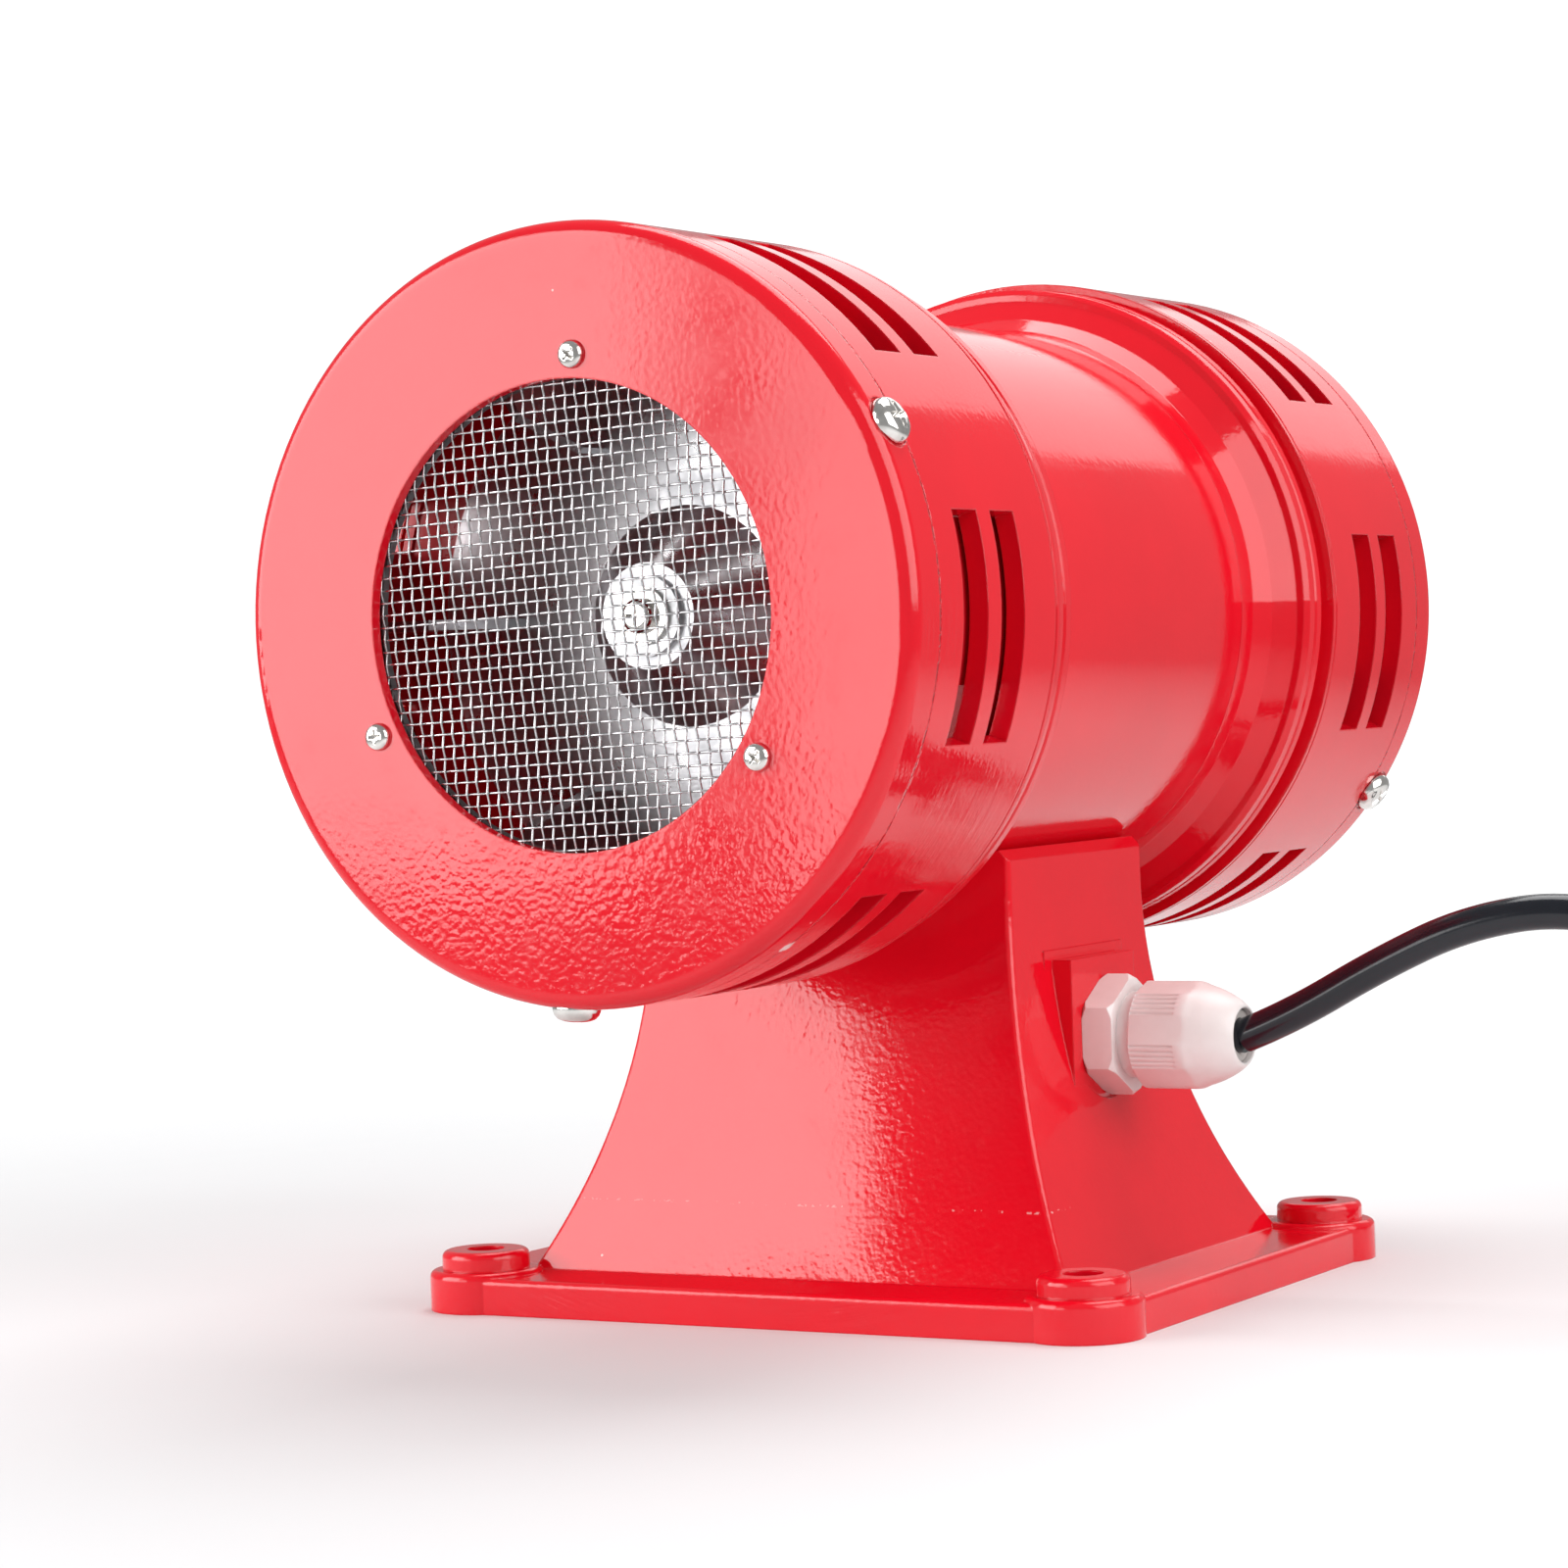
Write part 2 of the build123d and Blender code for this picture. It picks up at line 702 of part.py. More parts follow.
def make_pedestal():
    wide = flared_slab(saddle_half_x, foot_half_x, flare_top_x, saddle_top, 200, 0, 1)
    deep = flared_slab(saddle_half_y, foot_half_y, flare_top_y, saddle_top, 200, 0, 1)
    column = wide & (Rot(0, 0, 90) * deep)
    column = fillet(column.edges().filter_by(lambda e: is_corner_edge(e)), 1.2)
    base = Pos(0, 0, base_thick / 2) * Box(2 * base_half_x, 2 * base_half_y, base_thick)
    base = fillet(base.edges().filter_by(Axis.Z), lug_radius)
    base = fillet(base.edges().group_by(Axis.Z)[-1], 1.2)
    body = base + column + make_pad()
    for x in (-hole_half_x, hole_half_x):
        for y in (-hole_half_y, hole_half_y):
            body += Pos(x, y, 0) * make_lug()
    inner_x = flared_slab(saddle_half_x, foot_half_x, flare_top_x, cavity_top, 200,
                          pedestal_wall, -1)
    inner_y = flared_slab(saddle_half_y, foot_half_y, flare_top_y, cavity_top, 200,
                          pedestal_wall, -1)
    body -= inner_x & (Rot(0, 0, 90) * inner_y)
    for x in (-saddle_half_x, saddle_half_x):
        turned = Pos(x, 0, saddle_top) * Rot(0, 45, 0)
        body -= turned * Box(saddle_chamfer * math.sqrt(2), 400, saddle_chamfer * math.sqrt(2))
    body -= axis * rod(barrel_radius, -100, 100)
    for x in (-hole_half_x, hole_half_x):
        for y in (-hole_half_y, hole_half_y):
            body -= Pos(x, y, 0) * Cylinder(hole_radius, 4 * boss_height)
    for y in (-saddle_screw_y, saddle_screw_y):
        for angle in (-90 - saddle_screw_angle, -90 + saddle_screw_angle):
            body -= axis * radial_rod(saddle_screw_shank + slide_fit, barrel_radius - 2,
                                      barrel_radius + 30, angle, y)
            body -= axis * radial_rod(6.0, barrel_radius + saddle_floor, barrel_radius + 30,
                                      angle, y)
    body -= axis * radial_rod(lead_hole, barrel_radius - 2, barrel_radius + 20, -90, 0)
    body -= Pos(pad_face, 0, gland_height) * Rot(0, 90, 0) * Cylinder(thread_radius + slide_fit,
                                                                      30)
    recess = Pos(pad_face + 5, 0, gland_height) * Rot(0, 90, 0) * Cylinder(spot_face_radius, 10)
    body -= recess
    body -= Pos(block_x, 0, cavity_top) * Cylinder(terminal_screw, 9)
    body -= Pos(*earth_spot, cavity_top) * Cylinder(terminal_screw, 13)
    return body


def is_corner_edge(edge):
    # The four long edges where a front panel meets a side panel.
    box = edge.bounding_box()
    return box.size.Z > 60 and abs(edge.center().X) > 20 and abs(edge.center().Y) > 20


def make_pad():
    # A vertical boss for the gland on a thin plate; both run out into the flare below.
    depth = pad_face - saddle_half_x + 6
    low = flare_foot_height()
    block = Pos(pad_face - depth / 2, 0, (pad_top + low) / 2) * Box(depth, 2 * pad_half,
                                                                   pad_top - low)
    top = pad_top + 0.6 * plate_margin
    plate = Pos(saddle_half_x + plate_thick - 1.5, 0, (top + low) / 2)
    plate *= Box(3, 2 * (pad_half + plate_margin), top - low)
    return block + plate


def flare_foot_height():
    # Height at which the flared side reaches the face of the gland pad.
    rise = flare_top_x - base_thick
    out = foot_half_x - saddle_half_x
    radius = (rise ** 2 + out ** 2) / (2 * out)
    side = pad_face - saddle_half_x
    return flare_top_x - math.sqrt(radius ** 2 - (radius - side) ** 2) - 1


def make_lug():
    lug = Pos(0, 0, lug_height / 2) * Cylinder(lug_radius, lug_height)
    lug = fillet(lug.edges().group_by(Axis.Z)[-1], 1.5)
    boss = Pos(0, 0, boss_height / 2) * Cylinder(boss_radius, boss_height)
    boss = fillet(boss.edges().group_by(Axis.Z)[-1], 1.5)
    return lug + boss


def make_saddle_screws():
    screws = []
    for y in (-saddle_screw_y, saddle_screw_y):
        for angle in (-90 - saddle_screw_angle, -90 + saddle_screw_angle):
            screw = pan_screw(saddle_screw_shank - running_fit, saddle_floor + barrel_wall - 0.5,
                              4.6, 3.2)
            seat = Pos(barrel_radius + saddle_floor, y, 0) * Rot(0, -90, 0)
            screws.append(Rot(0, -angle, 0) * seat * screw)
    return axis * Compound(children=screws)


# Gland and wiring

def on_gland(shape):
    # Shapes are drawn along +Z from the pad's face and laid along +X.
    return Pos(pad_face, 0, gland_height) * Rot(0, 90, 0) * shape


def tube(outer, inner, start, end):
    body = Cylinder(outer, end - start)
    if inner > 0:
        body -= Cylinder(inner, end - start + 2)
    return Pos(0, 0, (start + end) / 2) * body


def make_gland_body():
    hexagon = extrude(RegularPolygon(gland_corner, 6), gland_hex)
    hexagon &= chamfered_disc(gland_corner, gland_hex, 1.0)
    body = hexagon + tube(thread_radius, 0, -thread_length, 0.5)
    body += tube(gland_neck, 0, gland_hex - 0.5, gland_hex + gland_neck_length + neck_overlap)
    body -= tube(cord_radius + 2.8, 0, -thread_length - 1, gland_reach)
    return on_gland(body)


def chamfered_disc(radius, thick, cut):
    disc = Pos(0, 0, thick / 2) * Cylinder(radius, thick)
    return chamfer(disc.edges().filter_by(GeomType.CIRCLE), cut)


def make_dome_nut():
    start = gland_hex + gland_neck_length
    corner = dome_flats / math.sqrt(3)
    shaft = extrude(RegularPolygon(corner, 6), gland_reach - start)
    outline = make_face(Polyline((0, 0), (corner + 1, 0), (corner + 1, dome_hex),
                                 (dome_flats / 2 - 0.3, dome_hex + 1.5),
                                 (dome_flats / 2 - 2.3, dome_hex + 5.6),
                                 (mouth_radius + 1.4, gland_reach - start),
                                 (0, gland_reach - start), close=True))
    body = shaft & revolve(Plane.XZ * outline, Axis.Z, 360)
    body -= tube(gland_neck + slide_fit, 0, -1, neck_overlap + 0.2)
    body -= tube(mouth_radius + 2.6, 0, neck_overlap, gland_reach - start - 4)
    body -= tube(mouth_radius, 0, neck_overlap, gland_reach)
    return on_gland(Pos(0, 0, start) * body)


def make_gland_seal():
    start = gland_hex + gland_neck_length + neck_overlap + part_gap
    body = tube(mouth_radius + 2.4, cord_radius + running_fit, start, gland_reach - 4.2)
    body += tube(mouth_radius - 0.2, cord_radius + running_fit, start, gland_reach - 1.2)
    return on_gland(body)


def make_lock_nut():
    nut = extrude(RegularPolygon(thread_radius + 3.4, 6), 4.0)
    nut -= Cylinder(thread_radius + running_fit, 20)
    return on_gland(Pos(0, 0, -wall_inside - 4.0) * nut)


def make_inner_cord():
    # The sheathed end that passes through the gland into the pedestal.
    body = Pos((gland_mouth + sheath_inside) / 2, 0, gland_height) * Rot(0, 90, 0)
    return body * Cylinder(cord_radius, gland_mouth - sheath_inside)


def make_terminal_block():
    # A two-pole strip screwed to the underside of the saddle.
    long, wide, tall = block_size
    middle = cavity_top - tall / 2
    body = Pos(block_x, 0, middle) * Box(long, wide, tall)
    for y in (-pole_half_gap, pole_half_gap):
        body -= Pos(block_x, y, wire_level) * Rot(0, 90, 0) * Cylinder(1.5, long + 2)
        for x in (-clamp_half, clamp_half):
            body -= Pos(block_x + x, y, cavity_top - tall) * Cylinder(terminal_screw, 10)
    return body - Pos(block_x, 0, middle) * Cylinder(terminal_screw + slide_fit, tall + 2)


def make_terminal_screws():
    screws = []
    low = cavity_top - block_size[2]
    for y in (-pole_half_gap, pole_half_gap):
        for x in (-clamp_half, clamp_half):
            screw = Pos(block_x + x, y, low + 2.6) * Cylinder(terminal_screw - slide_fit, 3.6)
            screws.append(screw - Pos(block_x + x, y, low + 0.8) * Box(0.6, 5, 1))
    return Compound(children=screws)


def make_block_screw():
    screw = pan_screw(terminal_screw - running_fit, block_size[2] + 4, 3.4, 2.0)
    return Pos(block_x, 0, cavity_top - block_size[2]) * screw


def make_earth_screw():
    x, y = earth_spot
    screw = pan_screw(terminal_screw - running_fit, 6, 3.6, 2.2)
    return Pos(x, y, cavity_top - tag_thick) * screw


def make_earth_tag():
    x, y = earth_spot
    tag = Cylinder(4.4, tag_thick) + Pos(-6, 0, 0) * Box(9, 4, tag_thick)
    tag -= Cylinder(terminal_screw + slide_fit, 2)
    return Pos(x, y, cavity_top - tag_thick / 2) * tag


def make_supply_cores():
    # Line and neutral from the sheath's end to the terminal block.
    cores = []
    face = block_x + block_size[0] / 2
    for side in (-1, 1):
        y = side * pole_half_gap
        points = [(sheath_inside - lead_gap, side * 1.5, gland_height + 1),
                  (17, side * 1.8, gland_height + 2.5),
                  (10, side * 4.0, wire_level - 5), (2, y, wire_level - 0.3),
                  (face - 3, y, wire_level)]
        cores.append(wire(points, lead_radius, bend_radii(points)))
    return Compound(children=cores)


def make_earth_core():
    x, y = earth_spot
    points = [(sheath_inside - lead_gap, 0, gland_height - 1.9), (17, 1, gland_height - 2.5),
              (8, 5, gland_height + 1.5), (1, 11, gland_height + 9), (2, y, cavity_top - 3.6),
              (x - 7, y, cavity_top - tag_thick - lead_radius)]
    return wire(points, lead_radius, bend_radii(points))


def make_motor_leads():
    # From the far side of the block, round it and up through the hole in the saddle.
    leads = []
    far = block_x - block_size[0] / 2
    for side in (-1, 1):
        y = side * pole_half_gap
        points = [(far + 3, y, wire_level), (far - 2.5, y, wire_level),
                  (far - 6.5, side * 9, wire_level - 1), (far - 3, side * 15, wire_level - 3),
                  (far + 7, side * 16.5, wire_level - 6), (far + 17, side * 12.5, wire_level - 9),
                  (-5.5, side * 6, wire_level - 10.5), (-3, side * 2.3, wire_level - 6),
                  (-3, side * 2.1, wire_level + 4), (-3, side * 2.3, wire_level + 19)]
        leads.append(wire(points, lead_radius, bend_radii(points)))
    return Compound(children=leads)


# Supply cord: hand-set points, in order from the gland's mouth to the coil

cord_points = [
    (gland_mouth, 0, gland_height), (91, 0, 58), (110, 0.5, 68.5), (129, 1.5, 77),
    (150, 4, 80), (171, 11, 73), (189, 23, 56), (202, 38, 36), (211.5, 55, 19.5),
    (218.5, 75, 8.4), (223, 97, cord_floor + 0.4), (224.6, 119, cord_floor)]
cord_stack = 2 * cord_radius * math.sin(math.radians(60))
tail_points = [
    (180, 161, cord_floor + cord_stack), (168, 162, cord_floor + cord_stack - 0.3),
    (155, 165, 7.2), (143, 167, 4.6), (133, 167.2, cord_floor)]


def make_cord():
    radii = bend_radii(cord_points)
    print("cord radii", [round(r, 1) for r in radii])
    body = wire(cord_points, cord_radius, radii)
    length = body.volume / (math.pi * cord_radius ** 2)
    print("cord tube length from volume", round(length, 1))
    return body


def make_cord_coil():
    # Two turns side by side on the floor and the last quarter turn lying on them.
    low = coil_mid - 2 * cord_radius
    high = coil_mid + 2 * cord_radius
    top = cord_floor + cord_radius
    flat = make_face(Polyline(
        (low, 1.2), (low + 1.1, 0.1), (high - 1.1, 0.1), (high, 1.2), (high, top - 1.1),
        (high - 1.1, top), (low + 1.1, top), (low, top - 1.1), close=True))
    body = revolve(Plane.XZ * flat, Axis.Z, 360)
    upper = make_face(Polyline(
        (coil_mid - 3.5, top - 1), (coil_mid + 3.5, top - 1), (coil_mid + 3.5, top + 3.6),
        (coil_mid + 1.6, top + cord_stack), (coil_mid - 1.6, top + cord_stack),
        (coil_mid - 3.5, top + 3.6), close=True))
    body += revolve(Plane.XZ * upper, Axis.Z, 90)
    return Pos(coil_x, coil_y, 0) * body


def make_cord_tail():
    return wire(tail_points, cord_radius, bend_radii(tail_points))


def tail_core_routes():
    x, y, z = tail_points[-1]
    level = lead_radius + 0.2
    spread = [(-1.3, -0.9, -5.0), (1.3, -0.9, 4.6), (0, 1.4, 0.6)]
    return [[(x - lead_gap, y + dy, z + dz), (x - 8, y + dy * 1.4, z + dz - 0.2),
             (x - 16, y + end, level), (x - 24, y + end * 1.1, level)] for dy, dz, end in spread]


def make_tail_cores():
    cores = []
    for points in tail_core_routes():
        cores.append(wire(points, lead_radius, bend_radii(points)))
    return Compound(children=cores)


def make_ferrules():
    ferrules = []
    for points in tail_core_routes():
        start, end = Vector(*points[-2]), Vector(*points[-1])
        plane = Plane(end, z_dir=end - start)
        collar = plane * Pos(0, 0, 1.6) * Cylinder(1.1, 3)
        ferrules.append(collar + plane * Pos(0, 0, 5) * Cylinder(ferrule_radius, 8))
    return Compound(children=ferrules)


parts = {
    "pedestal": make_pedestal(),
    "barrel": make_barrel(),
    "stator_core": make_stator(),
    "field_coils": make_field_coils(),
    "rotor_shaft": make_shaft(),
    "armature_core": make_armature_core(),
    "armature_winding": make_armature_winding(),
    "commutator": make_commutator(),
    "brush_holders": make_brush_holders(),
    "left_brush": make_brush(-1),
    "right_brush": make_brush(1),
    "left_brush_spring": make_brush_spring(-1),
    "right_brush_spring": make_brush_spring(1),
    "brush_caps": make_brush_caps(),
    "through_bolts": make_through_bolts(),
    "through_bolt_nuts": make_through_nuts(),
    "saddle_screws": make_saddle_screws(),
    "drum_flange_screws": both_ends(flange_screws_of),
    "bearing_outer_races": both_ends(outer_race),
    "bearing_inner_races": both_ends(inner_race),
    "bearing_balls": both_ends(ball_set),
    "impeller_bushes": both_ends(impeller_bush),
    "impeller_spacers": both_ends(impeller_spacer),
    "impeller_washers": both_ends(impeller_washer),
    "impeller_screws": both_ends(impeller_screw),
    "gland_body": make_gland_body(),
    "gland_dome_nut": make_dome_nut(),
    "gland_seal": make_gland_seal(),
    "gland_lock_nut": make_lock_nut(),
    "cord_inner_end": make_inner_cord(),
    "supply_cores": make_supply_cores(),
    "earth_core": make_earth_core(),
    "earth_screw": make_earth_screw(),
    "earth_tag": make_earth_tag(),
    "motor_leads": make_motor_leads(),
    "terminal_block": make_terminal_block(),
    "terminal_screws": make_terminal_screws(),
    "terminal_block_screw": make_block_screw(),
    "power_cord": make_cord(),
    "power_cord_coil": make_cord_coil(),
    "power_cord_tail": make_cord_tail(),
    "cord_tail_cores": make_tail_cores(),
    "cord_ferrules": make_ferrules(),
}
for side in ("front", "rear"):
    parts[f"{side}_end_bell"] = make_end_bell(side)
    parts[f"{side}_drum"] = make_drum(side)
    parts[f"{side}_cover"] = make_cover(side)
    parts[f"{side}_intake_mesh"] = make_mesh(side)
    parts[f"{side}_mesh_clamp_ring"] = make_clamp_ring(side)
    parts[f"{side}_face_screws"] = make_face_screws(side)
    parts[f"{side}_cover_screws"] = make_cover_screws(side)
    parts[f"{side}_impeller"] = make_impeller(side)

for name, shape in parts.items():
    save(name, shape)
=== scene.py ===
import json
import math
import bpy
import bmesh
from mathutils import Matrix, Vector


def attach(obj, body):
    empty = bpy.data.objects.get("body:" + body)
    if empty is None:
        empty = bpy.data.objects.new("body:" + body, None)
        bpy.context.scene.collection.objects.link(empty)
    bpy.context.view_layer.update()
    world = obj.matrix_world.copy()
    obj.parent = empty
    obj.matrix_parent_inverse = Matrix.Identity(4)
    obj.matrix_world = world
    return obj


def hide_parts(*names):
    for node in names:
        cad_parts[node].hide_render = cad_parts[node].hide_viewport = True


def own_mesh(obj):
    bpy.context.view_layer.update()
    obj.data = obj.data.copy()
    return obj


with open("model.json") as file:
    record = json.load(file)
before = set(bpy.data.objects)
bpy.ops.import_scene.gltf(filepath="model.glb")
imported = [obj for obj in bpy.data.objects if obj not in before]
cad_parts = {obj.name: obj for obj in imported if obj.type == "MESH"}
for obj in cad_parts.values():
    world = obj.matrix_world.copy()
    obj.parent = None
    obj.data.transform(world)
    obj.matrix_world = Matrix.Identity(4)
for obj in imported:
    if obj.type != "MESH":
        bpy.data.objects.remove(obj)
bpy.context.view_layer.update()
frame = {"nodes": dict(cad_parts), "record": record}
scene = bpy.context.scene
mm = 0.001
axisHeight = 0.144  # of the rotor's axis above the base
print("frame loaded:", len(frame["nodes"]), "nodes")


def unitAxes(azimuth, elevation, roll):
    # right, up and back of a view that looks at the object from this side
    a, e, r = math.radians(azimuth), math.radians(elevation), math.radians(roll)
    back = Vector((math.sin(a) * math.cos(e), -math.cos(a) * math.cos(e), math.sin(e)))
    side = Vector((0, 0, 1)).cross(back).normalized()
    rise = back.cross(side)
    right = math.cos(r) * side + math.sin(r) * rise
    up = math.cos(r) * rise - math.sin(r) * side
    return right, up, back


def placedMatrix(right, up, back, place):
    turn = Matrix((right, up, back)).transposed().to_4x4()
    return Matrix.Translation(place) @ turn


def addMesh(name, mesh, material, smoothAngle=None):
    obj = bpy.data.objects.new(name, mesh)
    scene.collection.objects.link(obj)
    mesh.materials.clear()
    mesh.materials.append(material)
    if smoothAngle is not None:
        mesh.shade_smooth()
        mesh.set_sharp_from_angle(angle=math.radians(smoothAngle))
    return obj


def meshFromBmesh(name, bm):
    mesh = bpy.data.meshes.new(name)
    bm.to_mesh(mesh)
    bm.free()
    return mesh


cameraView = {
    "azimuth": 30.223,
    "elevation": 1.259,
    "roll": -2.091,
    "aim": (-0.02726, 0.0, 0.10805),
    "distance": 0.9279,
    "lens": 97.46,
}


def makeCamera():
    data = bpy.data.cameras.new("studioCamera")
    data.lens = cameraView["lens"]
    data.sensor_width = 36
    data.clip_start, data.clip_end = 0.05, 50
    camera = bpy.data.objects.new("studioCamera", data)
    scene.collection.objects.link(camera)
    right, up, back = unitAxes(cameraView["azimuth"], cameraView["elevation"], cameraView["roll"])
    place = Vector(cameraView["aim"]) + back * cameraView["distance"]
    camera.matrix_world = placedMatrix(right, up, back, place)
    scene.camera = camera


makeCamera()
print("camera placed")


cord = {
    "diameter": 0.0072,
    "length": 0.88,
    "centre": (0.180, 0.120),
    "outer": 0.0446,
    "inner": 0.0374,
    "top": 0.041,
    "floor": 0.0037,
    "onTurns": 0.00994,
    "overTurn": 0.0113,
    "turnPoints": 16,
    "lastAngle": 810,
}
# control points from the gland to the coil and from the coil to the bare end
cordRoute = [
    (0.0805, 0, 0.054), (0.091, 0, 0.058), (0.110, 0.0005, 0.0685), (0.129, 0.0015, 0.077),
    (0.150, 0.004, 0.080), (0.171, 0.011, 0.073), (0.189, 0.023, 0.056), (0.202, 0.038, 0.036),
    (0.2115, 0.055, 0.0195), (0.2185, 0.075, 0.0084), (0.223, 0.097, 0.0041),
    (0.2246, 0.119, 0.0037),
]
cordTail = [
    (0.1735, 0.1612, 0.0108), (0.166, 0.1622, 0.0112), (0.158, 0.1642, 0.0100),
    (0.150, 0.1658, 0.0070), (0.142, 0.1668, 0.0042), (0.133, 0.1672, 0.0037),
]


def coilPlace(angle):
    # radius and height of the wound cord at this many degrees from its start
    steps = [
        (0, cord["outer"], cord["floor"]), (280, cord["outer"], cord["floor"]),
        (350, cord["inner"], cord["floor"]), (560, cord["inner"], cord["floor"]),
        (640, cord["top"], cord["overTurn"]), (710, cord["top"], cord["overTurn"]),
        (760, cord["top"], cord["onTurns"]), (cord["lastAngle"], cord["top"], cord["onTurns"]),
    ]
    for (a, ra, za), (b, rb, zb) in zip(steps, steps[1:]):
        if a <= angle <= b:
            t = (angle - a) / (b - a)
            t = t * t * (3 - 2 * t)
            return ra + (rb - ra) * t, za + (zb - za) * t
    return cord["top"], cord["onTurns"]


def coilPoints():
    points = []
    step = 360 / cord["turnPoints"]
    angle = step
    while angle <= cord["lastAngle"]:
        radius, height = coilPlace(angle)
        a = math.radians(angle)
        # control points of a smooth ring stand a little outside it
        reach = radius / math.cos(math.radians(step) / 2) ** 2
        points.append((cord["centre"][0] + reach * math.cos(a),
                       cord["centre"][1] + reach * math.sin(a), height))
        angle += step
    return points


def makeCord(material):
    curve = bpy.data.curves.new("supplyCord", "CURVE")
    curve.dimensions = "3D"
    curve.bevel_depth = cord["diameter"] / 2
    curve.bevel_resolution = 8
    curve.use_fill_caps = True
    curve.resolution_u = 10
    line = curve.splines.new("NURBS")
    points = cordRoute + coilPoints() + cordTail
    line.points.add(len(points) - 1)
    for spot, (x, y, z) in zip(line.points, points):
        spot.co = (x, y, z, 1)
    line.order_u = 3
    line.use_endpoint_u = True
    obj = bpy.data.objects.new("supplyCord", curve)
    scene.collection.objects.link(obj)
    curve.materials.append(material)
    return obj


def newGroup(name, inputs, outputs):
    group = bpy.data.node_groups.new(name, "ShaderNodeTree")
    for label, kind, value in inputs:
        socket = group.interface.new_socket(label, in_out="INPUT", socket_type=kind)
        if value is not None:
            socket.default_value = value
    for label, kind in outputs:
        group.interface.new_socket(label, in_out="OUTPUT", socket_type=kind)
    return group, Wiring(group)


class Wiring:
    # places nodes in a tree and joins them, left to right
    def __init__(self, tree):
        self.tree = tree
        self.column = 0

    def add(self, kind, settings=None, **inputs):
        node = self.tree.nodes.new(kind)
        node.location = (self.column * 190, -(self.column % 3) * 160)
        self.column += 1
        for key, value in (settings or {}).items():
            setattr(node, key, value)
        for key, value in inputs.items():
            self.feed(node.inputs[self.find(node, key)], value)
        return node

    def find(self, node, key):
        if key.startswith("in") and key[2:].isdigit():
            return int(key[2:])
        wanted = key.replace("_", " ").lower()
        for index, socket in enumerate(node.inputs):
            if socket.name.lower() == wanted and socket.enabled:
                return index
        raise KeyError(f"{node.bl_idname} has no input {key}")

    def feed(self, socket, value):
        if isinstance(value, bpy.types.NodeSocket):
            self.tree.links.new(value, socket)
        else:
            socket.default_value = value

    def math(self, operation, first, second=0.0, clamp=False):
        node = self.add("ShaderNodeMath", {"operation": operation, "use_clamp": clamp},
                        in0=first, in1=second)
        return node.outputs[0]

    def vector(self, operation, first, second=None):
        node = self.add("ShaderNodeVectorMath", {"operation": operation}, in0=first)
        if second is not None:
            self.feed(node.inputs[1], second)
        numbers = ("DOT_PRODUCT", "LENGTH", "DISTANCE")
        return node.outputs["Value" if operation in numbers else "Vector"]

    def ramp(self, value, low, high, fromLow=0.0, fromHigh=1.0):
        node = self.add("ShaderNodeMapRange", {"clamp": True}, in0=value, in1=fromLow,
                        in2=fromHigh, in3=low, in4=high)
        return node.outputs[0]

    def mixColour(self, amount, first, second, blend="MIX"):
        node = self.tree.nodes.new("ShaderNodeMix")
        node.data_type = "RGBA"
        node.blend_type = blend
        node.location = (self.column * 190, 200)
        self.column += 1
        self.feed(node.inputs[0], amount)
        self.feed(node.inputs[6], first)
        self.feed(node.inputs[7], second)
        return node.outputs[2]

    def noise(self, place, scale, detail=2.0, roughness=0.5):
        node = self.add("ShaderNodeTexNoise", None, vector=place, scale=scale, detail=detail,
                        roughness=roughness)
        return node.outputs[0]

    def bump(self, height, distance, strength=1.0, normal=None):
        node = self.add("ShaderNodeBump", None, strength=strength, distance=distance,
                        height=height)
        if normal is not None:
            self.feed(node.inputs["Normal"], normal)
        return node.outputs[0]

    def objectPlace(self):
        return self.add("ShaderNodeTexCoord").outputs["Object"]


def socketsOf(group):
    start = group.nodes.new("NodeGroupInput")
    end = group.nodes.new("NodeGroupOutput")
    return start.outputs, end.inputs


def makeOrangePeel():
    # height of sprayed enamel: fine peel over slow waves
    group, w = newGroup("orangePeel", [
        ("Place", "NodeSocketVector", None), ("Peel Size", "NodeSocketFloat", 700.0),
        ("Wave Size", "NodeSocketFloat", 90.0), ("Wave Share", "NodeSocketFloat", 0.5),
    ], [("Height", "NodeSocketFloat"), ("Cloud", "NodeSocketFloat")])
    given, out = socketsOf(group)
    peel = w.noise(given["Place"], given["Peel Size"], 1.0, 0.4)
    wave = w.noise(given["Place"], given["Wave Size"], 2.0, 0.5)
    waves = w.math("MULTIPLY", wave, given["Wave Share"])
    height = w.math("ADD", peel, waves)
    cloud = w.noise(given["Place"], 22.0, 3.0, 0.6)
    group.links.new(height, out["Height"])
    group.links.new(cloud, out["Cloud"])
    return group


